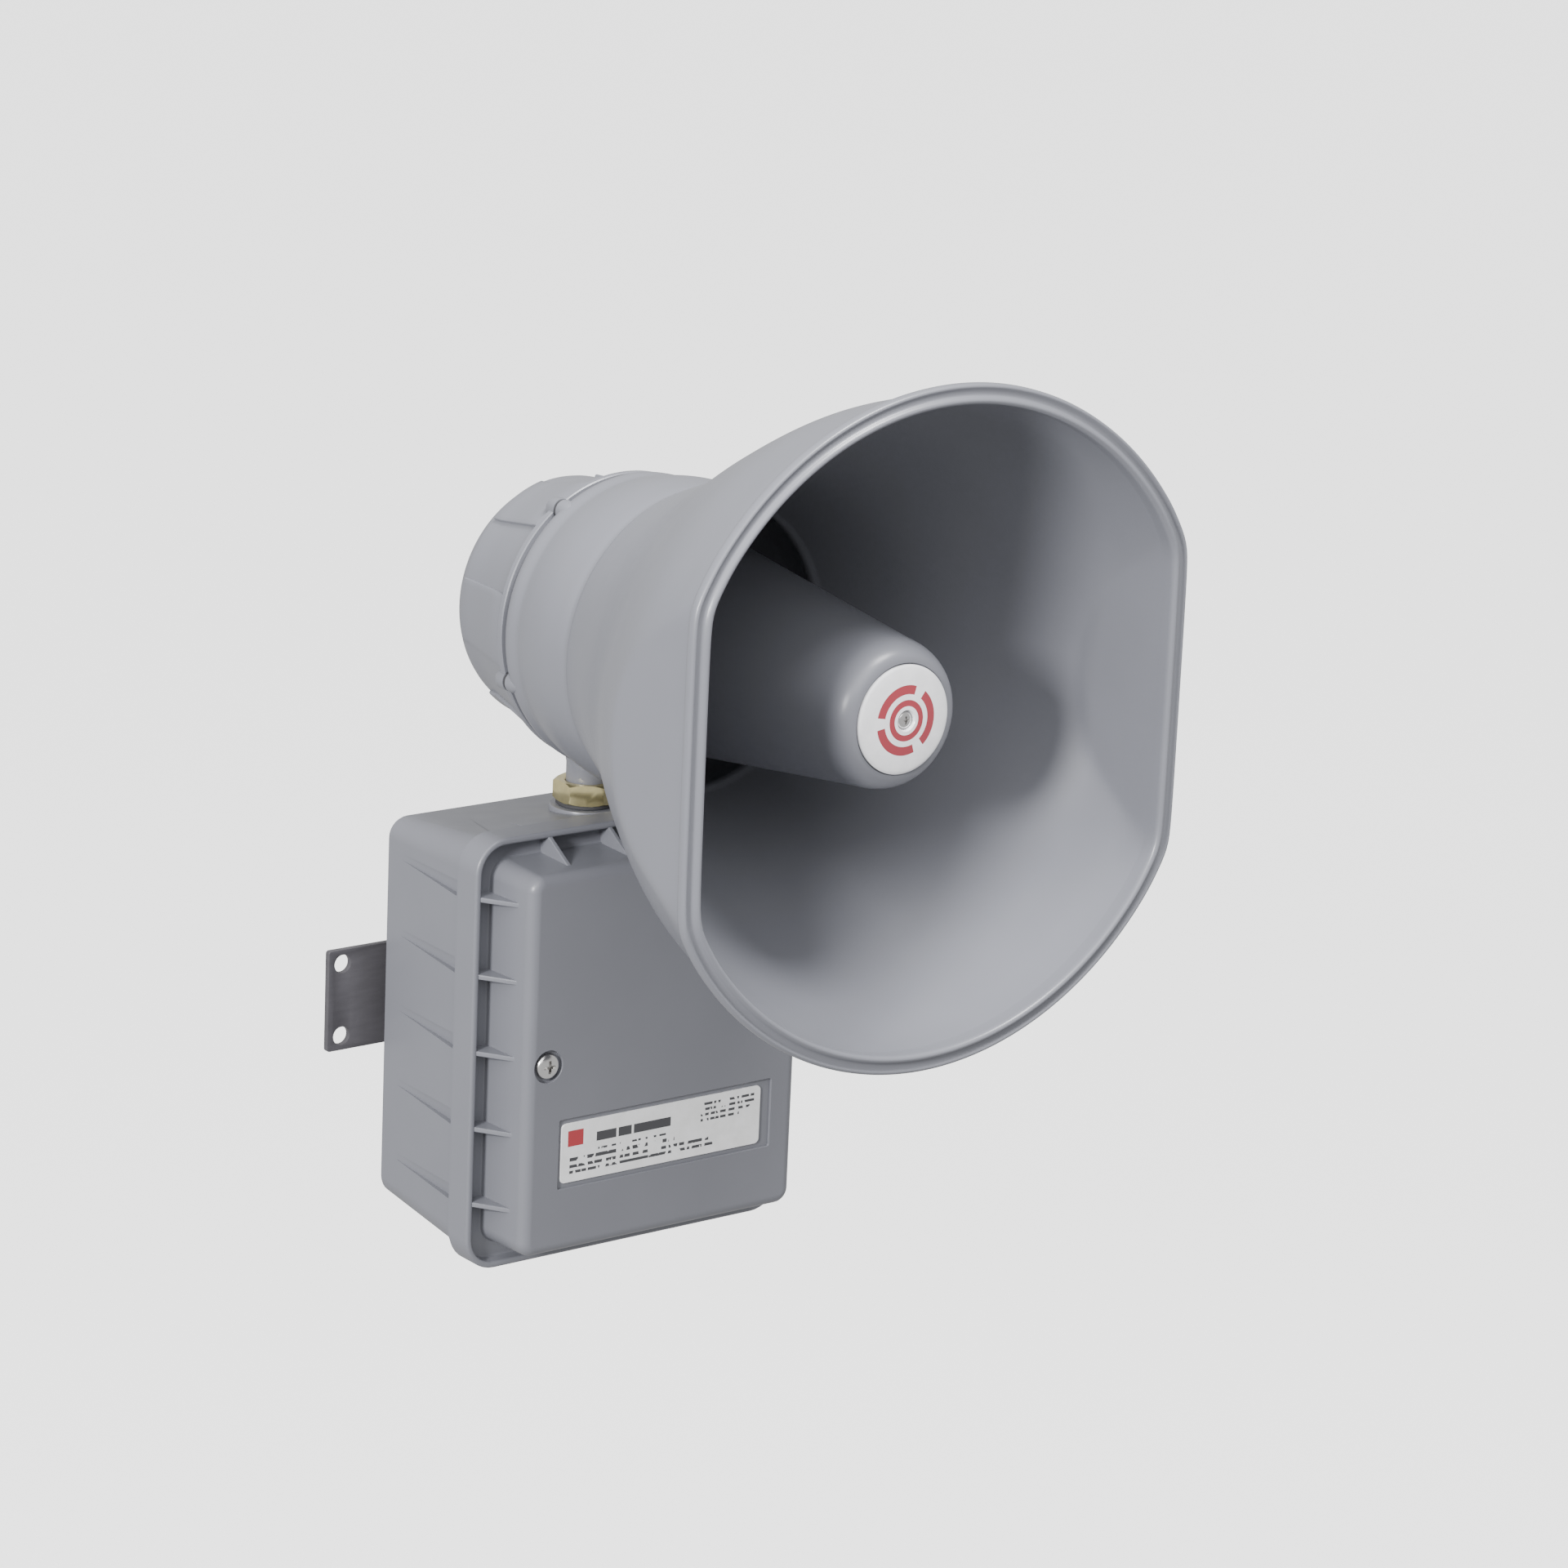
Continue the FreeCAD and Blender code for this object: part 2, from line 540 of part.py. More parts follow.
def reflector_cone():
    outside = [(CONE_BACK_Y, 0), (CONE_BACK_Y, CONE_BACK_R), (CONE_FRONT_Y, CONE_FRONT_R)]
    for k in range(1, 5):
        a = math.radians(22.5 * k)
        y = CONE_FRONT_Y + (NOSE_Y - CONE_FRONT_Y) * math.sin(a)
        outside.append((y, NOSE_FLAT_R + (CONE_FRONT_R - NOSE_FLAT_R) * math.cos(a)))
    outside.append((NOSE_Y, 0))
    cone = revolve(outside)
    inside = [(CONE_BACK_Y + 1, 0), (CONE_BACK_Y + 1, CONE_BACK_R - CONE_WALL + 0.1)]
    inside.append((CONE_FRONT_Y, CONE_FRONT_R - CONE_WALL))
    inside += [(CONE_FRONT_Y - 8, NOSE_FLAT_R), (CONE_FRONT_Y - 10, 0)]
    cone = cone.cut(revolve(inside))
    cone = cone.cut(rod_y(0, HORN_Z, MEDALLION_R + 0.3, NOSE_Y - 1, NOSE_Y + 0.8))
    return cone.cut(rod_y(0, HORN_Z, 2.2, NOSE_Y - 5, CONE_FRONT_Y)).removeSplitter()


def tone_tube():
    """Inner horn: flared tube, three fins that hold the reflector, and a screw hub."""
    root = TUBE_BACK_R + TUBE_WALL
    out = [(TUBE_BACK_Y, root + 6), (TUBE_BACK_Y - 4, root + 6), (TUBE_BACK_Y - 8, root + 1)]
    out.append((TUBE_FRONT_Y, TUBE_FRONT_R + TUBE_WALL))
    tube = revolve([(TUBE_BACK_Y, 0)] + out + [(TUBE_FRONT_Y, 0)])
    tube = tube.fuse(rod_y(0, HORN_Z, 5.5, HUB_Y[0], HUB_Y[1]))
    bore = [(TUBE_BACK_Y + 1, 0), (TUBE_BACK_Y + 1, TUBE_BACK_R), (TUBE_FRONT_Y - 0.1, TUBE_FRONT_R)]
    bore.append((TUBE_FRONT_Y - 0.1, 0))
    tube = tube.cut(revolve(bore))
    gap = CONE_WALL + 0.15
    for k in range(3):
        fin = [(-140.0, 14.5), (-140.0, cone_radius(-140) - gap), (CONE_FRONT_Y, CONE_FRONT_R - gap)]
        fin += [(CONE_FRONT_Y, 2.5), (HUB_Y[1], 2.5), (HUB_Y[1], 13.0), (TUBE_FRONT_Y, 20.3)]
        verts = [Vector(r, y, HORN_Z - FIN_T / 2) for y, r in fin]
        blade = Part.Face(Part.makePolygon(verts + verts[:1])).extrude(Vector(0, 0, FIN_T))
        blade.rotate(HORN_POINT, HORN_AXIS, 90 + 120 * k)
        blade = blade.cut(revolve(bore))
        tube = tube.fuse(blade)
    return tube.cut(rod_y(0, HORN_Z, 1.9, HUB_Y[0] - 9, HUB_Y[1] - 2)).removeSplitter()


def medallion():
    y = NOSE_Y + 0.8
    disc = rod_y(0, HORN_Z, MEDALLION_R, y - 1.6, y)
    dome = Part.makeSphere(70.0, Vector(0, y - 3.4 + 70.0, HORN_Z))
    dome = dome.common(rod_y(0, HORN_Z, MEDALLION_R, y - 4, y - 1.5))
    disc = disc.fuse(dome)
    disc = disc.cut(rod_y(0, HORN_Z, 3.6, y - 5, y - 1.4))
    return disc.cut(rod_y(0, HORN_Z, 2.1, y - 5, y + 1)).removeSplitter()


def medallion_screw():
    face = NOSE_Y + 0.8 - 1.4
    return pan_screw_y(0, HORN_Z, 1.8, 3.2, 1.6, face, 15.0)


# -------------------------------------------------------- compression driver
def driver_back_plate():
    plate = rod_y(0, HORN_Z, 34.0, -34.0, -30.0).fuse(rod_y(0, HORN_Z, 12.0, -51.0, -33.0))
    for x, z in driver_screw_points():
        plate = plate.cut(rod_y(x, z, 1.5, -33.4, -29.0))
    return plate.removeSplitter()


def driver_screw_points():
    return [polar(29.0, 45 + 90 * k) for k in range(4)]


def driver_magnet():
    return ring_y(35.0, 17.0, -46.0, -34.0)


def driver_top_plate():
    return ring_y(34.0, 13.6, -51.0, -46.0)


def diaphragm_carrier():
    """Ring that clamps the diaphragm's rim to the driver."""
    return ring_y(34.0, 23.0, -54.0, -51.0).fuse(ring_y(34.0, 19.5, -55.5, -54.0)).removeSplitter()


def diaphragm():
    dome = [(-54.2, 13.2), (-57.6, 9.0), (-59.2, 4.0), (-59.4, 0)]
    outer = revolve([(-53.6, 0), (-53.6, 18.9), (-54.2, 18.9)] + dome)
    under = [(-53.9, 12.2), (-57.0, 8.6), (-58.6, 3.8), (-58.8, 0)]
    return outer.cut(revolve([(-53.0, 0), (-53.0, 12.2)] + under))


def voice_coil():
    return ring_y(13.1, 12.5, -53.6, -47.5)


def front_room():
    """Space in the driver's front chamber, from the diaphragm to the throat."""
    walls = [(-55.0, 19.5), (-60.8, 17.0), (-62.0, 16.1), (-67.0, 8.0), (-72.0, 8.0)]
    return revolve([(-55.0, 0)] + walls + [(-72.0, 0)])


def phase_plug():
    """Centre cone and three ribs that lead the diaphragm's sound into the throat."""
    plug = revolve([(-69.0, 0), (-68.0, 2.0), (-62.0, 11.0), (-60.8, 11.4), (-60.8, 0)])
    for k in range(3):
        rib = box(0, 18.0, -66.0, -61.0, HORN_Z - 0.8, HORN_Z + 0.8)
        rib.rotate(HORN_POINT, HORN_AXIS, 30 + 120 * k)
        plug = plug.fuse(rib)
    return plug.common(front_room()).removeSplitter()


def driver_front():
    """Front chamber of the driver, bolted against the throat plate."""
    front = rod_y(0, HORN_Z, 34.0, -71.0, -55.5)
    front = front.cut(front_room())
    flange = ring_y(46.0, 33.0, -71.0, -68.0)
    return front.fuse(flange).removeSplitter()


def driver_screws():
    return Part.makeCompound([
        pan_screw_y(x, z, 1.5, 3.0, 1.8, -30.0, 3.4, into=-1) for x, z in driver_screw_points()])


def driver_terminals():
    """Two tabs on an insulating block behind the driver's back plate."""
    z0 = HORN_Z - 20
    block = box(-9, 9, -30.0, -27.0, z0 - 5, z0 + 5)
    parts = [block]
    for x in (-5, 5):
        parts.append(box(x - 1.6, x + 1.6, -27.0, -26.2, z0 - 9, z0 + 3))
    return Part.makeCompound(parts)


# -------------------------------------------------------------- electronics
def board_holes():
    return [(sx * BOARD_HOLE[0], BOARD_Z + sz * BOARD_HOLE[1]) for sx in (-1, 1) for sz in (-1, 1)]


def amplifier_board():
    w, h = BOARD_SIZE[0] / 2, BOARD_SIZE[1] / 2
    board = box(-w, w, BOARD_Y - BOARD_T, BOARD_Y, BOARD_Z - h, BOARD_Z + h)
    for side in (-1, 1):
        board = board.cut(rod_y(side * COVER_SCREW_X, COVER_SCREW_Z, 6.8, -50, 0))
    for x, z in board_holes():
        board = board.cut(rod_y(x, z, 1.8, -40, -20))
    return board


def board_standoffs():
    y0 = TUB_BACK_Y - TUB_WALL - 3
    posts = []
    for x, z in board_holes():
        posts.append(rod_y(x, z, 3.2, BOARD_Y, y0).cut(rod_y(x, z, 1.6, BOARD_Y - 1, BOARD_Y + 8)))
    return Part.makeCompound(posts)


def board_screws():
    face = BOARD_Y - BOARD_T
    return Part.makeCompound([pan_screw_y(x, z, 1.5, 3.0, 1.8, face, 6.0) for x, z in board_holes()])


def transformer_core():
    """Laminated core standing on the board: a frame with a centre leg."""
    x0, x1, z0, z1 = -46.0, -4.0, -60.0, -26.0
    y0, y1 = BOARD_FACE - 24.0, BOARD_FACE - 8.0
    core = box(x0, x1, y0, y1, z0, z1)
    mid = (x0 + x1) / 2
    for side in (-1, 1):
        inner, outer = sorted((mid + side * 7.0, mid + side * 14.0))
        core = core.cut(box(inner, outer, y0 - 1, y1 + 1, z0 + 7, z1 - 7))
    return core


def transformer_winding():
    mid = -25.0
    y0, y1 = BOARD_FACE - 30.0, BOARD_FACE - 2.0
    coil = box(mid - 13.8, mid + 13.8, y0, y1, -52.8, -33.2)
    return coil.cut(box(mid - 7.1, mid + 7.1, BOARD_FACE - 24.1, BOARD_FACE - 7.9, -60, -26))


def transformer_frame():
    """Steel strap that clamps the core down to the board."""
    strap = box(-49.5, -0.5, BOARD_FACE - 1.2, BOARD_FACE, -49, -37)
    for x in (-47.3, -3.9):
        strap = strap.fuse(box(x, x + 1.2, BOARD_FACE - 14, BOARD_FACE, -49, -37))
    return strap.cut(box(-39.5, -10.5, BOARD_FACE - 2, BOARD_FACE + 1, -54, -32))


def capacitors():
    cans = []
    for x, z in ((12.0, -52.0), (12.0, -32.0), (33.0, -52.0)):
        can = rod_y(x, z, 8.0, BOARD_FACE - 26.0, BOARD_FACE)
        groove = rod_y(x, z, 9.0, BOARD_FACE - 5.0, BOARD_FACE - 3.6)
        groove = groove.cut(rod_y(x, z, 7.4, BOARD_FACE - 6, BOARD_FACE))
        cans.append(can.cut(groove))
    return Part.makeCompound(cans)


def heat_sink():
    base = box(-42, -18, BOARD_FACE - 26, BOARD_FACE, 8, 11)
    for k in range(6):
        x = -42 + k * 4.48
        base = base.fuse(box(x, x + 1.6, BOARD_FACE - 26, BOARD_FACE, 11, 24))
    return base.removeSplitter()


def power_transistors():
    parts = []
    for x in (-36.0, -24.0):
        parts.append(box(x - 5, x + 5, BOARD_FACE - 20, BOARD_FACE - 5, 3.4, 8))
    return Part.makeCompound(parts)


def terminal_block():
    """Screw terminals for the supply, the signal and the speaker leads."""
    block = box(-14, 34, BOARD_FACE - 12, BOARD_FACE, 14, 26)
    for x in terminal_places():
        block = block.cut(rod_y(x, TERMINAL_Z, 2.1, BOARD_FACE - 13, BOARD_FACE - 6))
        block = block.cut(box(x - 1.8, x + 1.8, BOARD_FACE - 6, BOARD_FACE - 2, 22, 27))
    return block


def terminal_places():
    return [TERMINAL_X + TERMINAL_PITCH * k for k in range(TERMINALS)]


def terminal_screws():
    screws = []
    for x in terminal_places():
        z = TERMINAL_Z
        slot = box(x - 1.5, x + 1.5, BOARD_FACE - 10, BOARD_FACE - 8.2, z - 0.3, z + 0.3)
        screws.append(rod_y(x, z, 1.9, BOARD_FACE - 9, BOARD_FACE - 6).cut(slot))
    return Part.makeCompound(screws)


def gain_control():
    """Rotary control body that carries the gain knob."""
    x, z = GAIN_X, GAIN_Z
    body = box(x - 6, x + 6, BOARD_FACE - 8, BOARD_FACE, z - 6, z + 6)
    return body.cut(rod_y(x, z, 2.3 + FIT, BOARD_FACE - 9, BOARD_FACE - 3))


def gain_knob():
    """Slotted shaft with a pointer flange, turned by a screwdriver."""
    x, z = GAIN_X, GAIN_Z
    shaft = rod_y(x, z, 2.3, BOARD_FACE - 12, BOARD_FACE - 4)
    disc = rod_y(x, z, 4.8, BOARD_FACE - 12, BOARD_FACE - 8.4)
    knob = shaft.fuse(disc)
    slot = box(x - 3.5, x + 3.5, BOARD_FACE - 13, BOARD_FACE - 10.8, z - 0.5, z + 0.5)
    pointer = box(x - 0.4, x + 0.4, BOARD_FACE - 13, BOARD_FACE - 11.4, z, z + 5.2)
    return knob.cut(slot).cut(pointer).removeSplitter()


def tone_socket():
    """Edge socket on the board that the tone module plugs into."""
    socket = box(-14, 34, BOARD_FACE - 9, BOARD_FACE, -14, -7)
    return socket.cut(box(-11.1, 31.1, BOARD_FACE - 10, BOARD_FACE - 2, -11.4, -9.6))


def tone_module():
    """Plug-in card that sets the tone; it pulls forward out of its socket."""
    card = box(-11, 31, BOARD_FACE - 34, BOARD_FACE - 2.5, -11.3, -9.7)
    chip = box(2, 18, BOARD_FACE - 24, BOARD_FACE - 16, -9.7, -6.2)
    return card.fuse(chip).removeSplitter()


def tone_switches():
    """Bank of six small selector switches on the tone module's edge."""
    x0, z0 = -8.0, -9.7
    bank = box(x0, x0 + 8, BOARD_FACE - 33, BOARD_FACE - 13, z0, z0 + 5)
    for k in range(6):
        y = BOARD_FACE - 31.6 + 3.1 * k
        x = x0 + 2 + (k % 2) * 2
        bank = bank.cut(box(x0 + 2, x0 + 6, y, y + 1.5, z0 + 4, z0 + 6))
        bank = bank.fuse(box(x, x + 2, y, y + 1.5, z0 + 3.9, z0 + 5.6))
    return bank.removeSplitter()


def fuse_link():
    """Glass cartridge with two metal caps."""
    return rod_z(FUSE_X, BOARD_FACE - 5.0, 2.6, FUSE_Z - 10, FUSE_Z + 10)


def fuse_clips():
    clips = []
    for z in (FUSE_Z - 9.5, FUSE_Z + 4.5):
        clip = box(FUSE_X - 3.6, FUSE_X + 3.6, BOARD_FACE - 7.2, BOARD_FACE, z, z + 5)
        slot = box(FUSE_X - 2.6, FUSE_X + 2.6, BOARD_FACE - 8, BOARD_FACE - 5, z - 1, z + 6)
        bed = rod_z(FUSE_X, BOARD_FACE - 5.0, 2.6, z - 1, z + 6)
        clips.append(clip.cut(slot).cut(bed))
    return Part.makeCompound(clips)


def ground_screw():
    return pan_screw_y(GROUND_X, GROUND_Z, 2.0, 4.0, 2.6, TUB_BACK_Y - TUB_WALL, 2.0)


# -------------------------------------------------------------------- leads
def lead(points, radii):
    """Round lead along straight runs joined by tangent arcs."""
    edges = []
    at = points[0]
    for i in range(1, len(points) - 1):
        a, b, c = points[i - 1], points[i], points[i + 1]
        d0 = (a - b).normalize()
        d1 = (c - b).normalize()
        turn = math.pi - d0.getAngle(d1)
        cut = radii[i - 1] * math.tan(turn / 2)
        p0 = b + d0 * cut
        p1 = b + d1 * cut
        half_way = (d0 + d1).normalize()
        centre_gap = radii[i - 1] / math.cos(turn / 2)
        mid = b + half_way * (centre_gap - radii[i - 1])
        edges.append(Part.LineSegment(at, p0).toShape())
        edges.append(Part.Arc(p0, mid, p1).toShape())
        at = p1
    edges.append(Part.LineSegment(at, points[-1]).toShape())
    path = Part.Wire(edges)
    start = path.Edges[0]
    profile = Part.Wire(Part.makeCircle(LEAD_R, start.valueAt(0), start.tangentAt(0)))
    return path.makePipeShell([profile], True, False)


def speaker_lead_upper():
    """From the driver's terminals, round the back of the driver, and down the neck."""
    route = [(-24.9, HORN_Z - 22), (-24.9, HORN_Z - 32), (-31.5, HORN_Z - 39.2), (-47.0, HORN_Z - 40.0)]
    route += [(NECK_Y, HORN_Z - 60), (NECK_Y, LEAD_SPLIT_Z + 0.3)]
    return lead([Vector(0, y, z) for y, z in route], [5.0, 5.0, 7.0, 20.0])


def speaker_lead_lower():
    """From the neck down to the terminal block on the board."""
    pts = [Vector(0, NECK_Y, LEAD_SPLIT_Z), Vector(0, NECK_Y, 40), Vector(13, BOARD_FACE - 4, 36)]
    pts.append(Vector(13, BOARD_FACE - 4, 26.2))
    return lead(pts, [8.0, 6.0])


NODES = {
    "enclosure_tub": enclosure_tub, "conduit_hub": conduit_hub, "wall_bracket": wall_bracket,
    "bracket_screws": bracket_screws, "cover_gasket": cover_gasket, "cover": cover,
    "label_plate": label_plate, "cover_screws": cover_screws, "neck_seal": neck_seal,
    "locknut": locknut, "rear_housing": rear_housing, "seam_screws": seam_screws,
    "seam_gasket": seam_gasket, "horn_bell": horn_bell, "throat_plate": throat_plate,
    "reflector_cone": reflector_cone, "tone_tube": tone_tube, "medallion": medallion,
    "medallion_screw": medallion_screw, "driver_back_plate": driver_back_plate,
    "driver_magnet": driver_magnet, "driver_top_plate": driver_top_plate,
    "diaphragm_carrier": diaphragm_carrier, "diaphragm": diaphragm, "voice_coil": voice_coil,
    "phase_plug": phase_plug, "driver_front": driver_front, "driver_screws": driver_screws,
    "driver_terminals": driver_terminals, "amplifier_board": amplifier_board,
    "board_standoffs": board_standoffs, "board_screws": board_screws,
    "transformer_core": transformer_core, "transformer_winding": transformer_winding,
    "transformer_frame": transformer_frame, "capacitors": capacitors, "heat_sink": heat_sink,
    "power_transistors": power_transistors, "terminal_block": terminal_block,
    "terminal_screws": terminal_screws, "gain_control": gain_control, "gain_knob": gain_knob,
    "tone_socket": tone_socket, "tone_module": tone_module, "tone_switches": tone_switches,
    "fuse_clips": fuse_clips, "fuse_link": fuse_link, "ground_screw": ground_screw,
    "speaker_lead_upper": speaker_lead_upper, "speaker_lead_lower": speaker_lead_lower,
}

os.makedirs("parts", exist_ok=True)
for name, make in NODES.items():
    shape = make()
    shape.exportStep("parts/" + name + ".step")
    print(name, len(shape.Solids), round(shape.Volume, 1), shape.isValid())
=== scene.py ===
import json
import math

import bmesh
import bpy
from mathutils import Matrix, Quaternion, Vector


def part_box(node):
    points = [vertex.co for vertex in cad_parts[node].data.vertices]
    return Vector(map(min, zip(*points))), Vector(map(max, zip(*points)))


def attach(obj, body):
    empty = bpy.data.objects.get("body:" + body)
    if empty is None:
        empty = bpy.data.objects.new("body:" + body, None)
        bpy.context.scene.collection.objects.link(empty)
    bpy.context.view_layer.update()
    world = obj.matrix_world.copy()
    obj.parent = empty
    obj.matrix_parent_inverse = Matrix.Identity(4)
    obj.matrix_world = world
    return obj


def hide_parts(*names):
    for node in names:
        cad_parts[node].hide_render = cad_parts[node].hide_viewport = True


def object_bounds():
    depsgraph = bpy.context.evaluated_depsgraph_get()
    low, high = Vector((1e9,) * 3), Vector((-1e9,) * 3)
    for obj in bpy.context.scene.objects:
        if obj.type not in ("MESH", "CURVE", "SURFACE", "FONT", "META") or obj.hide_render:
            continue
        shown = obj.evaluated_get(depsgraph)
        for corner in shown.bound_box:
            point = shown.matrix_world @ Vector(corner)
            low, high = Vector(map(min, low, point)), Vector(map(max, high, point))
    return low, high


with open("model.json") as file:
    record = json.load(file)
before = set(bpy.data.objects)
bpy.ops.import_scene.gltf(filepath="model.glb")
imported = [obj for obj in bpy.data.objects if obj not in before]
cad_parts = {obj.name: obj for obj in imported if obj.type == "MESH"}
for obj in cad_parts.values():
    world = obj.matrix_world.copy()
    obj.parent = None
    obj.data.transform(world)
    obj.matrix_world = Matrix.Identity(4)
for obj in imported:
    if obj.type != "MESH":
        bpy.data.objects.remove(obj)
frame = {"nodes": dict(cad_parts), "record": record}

cad_low, cad_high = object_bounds()

# A weatherproof re-entrant horn on a swivel neck above a flanged amplifier box.
# Sizes are in millimetres times MM; places come from the frame's own boxes.
MM = 0.001

bell_low, bell_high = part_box("horn_bell")
housing_low, housing_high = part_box("rear_housing")
cone_low, cone_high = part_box("reflector_cone")
tub_low, tub_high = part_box("enclosure_tub")
cover_low, cover_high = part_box("cover")
label_low, label_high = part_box("label_plate")
bracket_low, bracket_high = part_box("wall_bracket")
nut_low, nut_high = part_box("locknut")
seal_low, seal_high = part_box("neck_seal")

HORN_Z = (bell_low.z + bell_high.z) / 2
MOUTH_Y = bell_low.y
MOUTH_R = (bell_high.z - bell_low.z) / 2
MOUTH_HALF_W = bell_high.x
BARREL_Y = bell_high.y
SEAM_Y = housing_low.y
NECK_Y = (nut_low.y + nut_high.y) / 2
BOX_Z = (cover_low.z + cover_high.z) / 2
TUB_BACK_Y = tub_high.y

# Horn: the wall, the fineness of its rings, and how softly each flat side
# meets the round part, on the body and at the rim.
BELL_WALL = 3.5 * MM
RING_SEGMENTS = 288
BODY_CREASE = 0.5 * MM
RIM_CREASE = 2.6 * MM

# Seam screws and their bosses, and the grip lands round the rear housing.
SEAM_SCREW_R = 53 * MM
SEAM_SCREW_ANGLES = (56, 124, 200, 340)
BOSS_R = 4 * MM
BOSS_RISE = 5 * MM
LAND_RISE = 1.2 * MM
LAND_START = -14
LAND_PITCH = 60
LAND_SPAN = 30

# Neck fittings.
NUT_ACROSS_FLATS = 22.2 * MM
NUT_TURN = 5
NECK_BORE_R = 8.1 * MM
PAD_R = 14 * MM

# Box: half width and half height of the lip and of the raised panel.
LIP_HALF = (72.3 * MM, 82.8 * MM)
RIB_PITCH = 29.5 * MM
RIB_SHIFT = 2.5 * MM
TOP_RIB_PITCH = 27 * MM
PANEL_HALF = (62.5 * MM, 73.5 * MM)
PANEL_Y = cover_low.y
SKIRT_Y = -84 * MM
CHANNEL_Y = -79 * MM
COVER_SCREW_X = 53 * MM
COVER_SCREW_Z = -1 * MM
COVER_SCREW_HEAD = (5 * MM, 2.8 * MM)
BORE_R = 6.3 * MM
BORE_DEPTH = 1.8 * MM
CONDUIT = (34 * MM, -46 * MM)

# Strip: sheet, and the holes in the ears and in the web.
STRIP_SHEET = 2.5 * MM
EAR_HOLE = (77.2 * MM, 14.3 * MM)
EAR_HOLE_R = 3.55 * MM
WEB_HOLE = (35 * MM, 10 * MM)
WEB_HOLE_R = 2.2 * MM

# Studio: name, kind, place, size (an angle for the sun) and power of each lamp.
FLOOR_SIZE = 500
FLOOR_DROP = 0.9
LAMPS = [("fill_sun", "SUN", (-0.9, -1.5, 1.7), 0.9, 1.6),
         ("top_panel", "AREA", (0.25, -0.75, 1.8), 0.7, 58.0),
         ("left_panel", "AREA", (-1.7, -0.75, 0.7), 0.36, 52.0)]
LAMP_AIM = (0, -0.14, 0.08)

# Camera: azimuth, elevation and roll in degrees, then metres and millimetres.
CAMERA_TURN = (-37.86, 15.37, 2.52)
CAMERA_DISTANCE = 2.1231
CAMERA_TARGET = (0.1321, 0.0, 0.0566)
SENSOR_WIDTH = 36
LENS = 121.9

# ------------------------------------------------------------ modelling aids


def clear_selection():
    if bpy.context.mode != "OBJECT":
        bpy.ops.object.mode_set(mode="OBJECT")
    bpy.ops.object.select_all(action="DESELECT")


def activate(piece):
    clear_selection()
    piece.select_set(True)
    bpy.context.view_layer.objects.active = piece


def take(name):
    """Name the primitive just added and open it in edit mode."""
    piece = bpy.context.object
    piece.name = name
    piece.data.name = name
    bpy.ops.object.mode_set(mode="EDIT")
    return piece


def put_down(piece, smooth=35.0):
    """Close edit mode with the normals outwards and the place in the mesh."""
    bpy.ops.mesh.select_mode(type="VERT")
    bpy.ops.mesh.select_all(action="SELECT")
    bpy.ops.mesh.normals_make_consistent(inside=False)
    bpy.ops.object.mode_set(mode="OBJECT")
    activate(piece)
    bpy.ops.object.transform_apply(location=True, rotation=True, scale=True)
    bpy.ops.object.shade_smooth_by_angle(angle=math.radians(smooth))
    return piece


def choose(kind, test):
    """In edit mode, select only the verts, edges or faces that pass the test."""
    bpy.ops.mesh.select_mode(type=kind)
    bpy.ops.mesh.select_all(action="DESELECT")
    mesh = bpy.context.object.data
    grid = bmesh.from_edit_mesh(mesh)
    items = {"VERT": grid.verts, "EDGE": grid.edges, "FACE": grid.faces}[kind]
    items.ensure_lookup_table()
    for item in items:
        if test(item):
            item.select_set(True)
    grid.select_flush_mode()
    bmesh.update_edit_mesh(mesh)


def middle(item):
    """Middle of an edge or face in the frame's own coordinates."""
    world = bpy.context.object.matrix_world
    if isinstance(item, bmesh.types.BMFace):
        return world @ item.calc_center_median()
    return world @ ((item.verts[0].co + item.verts[1].co) / 2)


def turned(name, profile, centre, axis="Y", segments=96, closed=True, smooth=35.0):
    """Turned piece: a ring drawn along its axis through (place, radius) steps."""
    along_y = axis == "Y"

    def at(place):
        return (centre[0], place, centre[1]) if along_y else (centre[0], centre[1], place)

    clear_selection()
    place, radius = profile[0]
    turn = (math.pi / 2, 0, 0) if along_y else (0, 0, 0)
    bpy.ops.mesh.primitive_circle_add(vertices=segments, radius=radius, location=at(place), rotation=turn)
    piece = take(name)
    for next_place, next_radius in profile[1:]:
        step = next_place - place
        move = (0, step, 0) if along_y else (0, 0, step)
        k = next_radius / radius
        bpy.ops.mesh.extrude_region_move(TRANSFORM_OT_translate={"value": move})
        grow = (k, 1, k) if along_y else (k, k, 1)
        bpy.ops.transform.resize(value=grow, center_override=at(next_place))
        place, radius = next_place, next_radius
    last = segments * (len(profile) - 1)
    if closed:
        choose("VERT", lambda v: v.index < segments or v.index >= last)
        bpy.ops.mesh.bridge_edge_loops()
    else:
        bpy.ops.mesh.edge_face_add()
        choose("VERT", lambda v: v.index < segments)
        bpy.ops.mesh.edge_face_add()
    return put_down(piece, smooth)


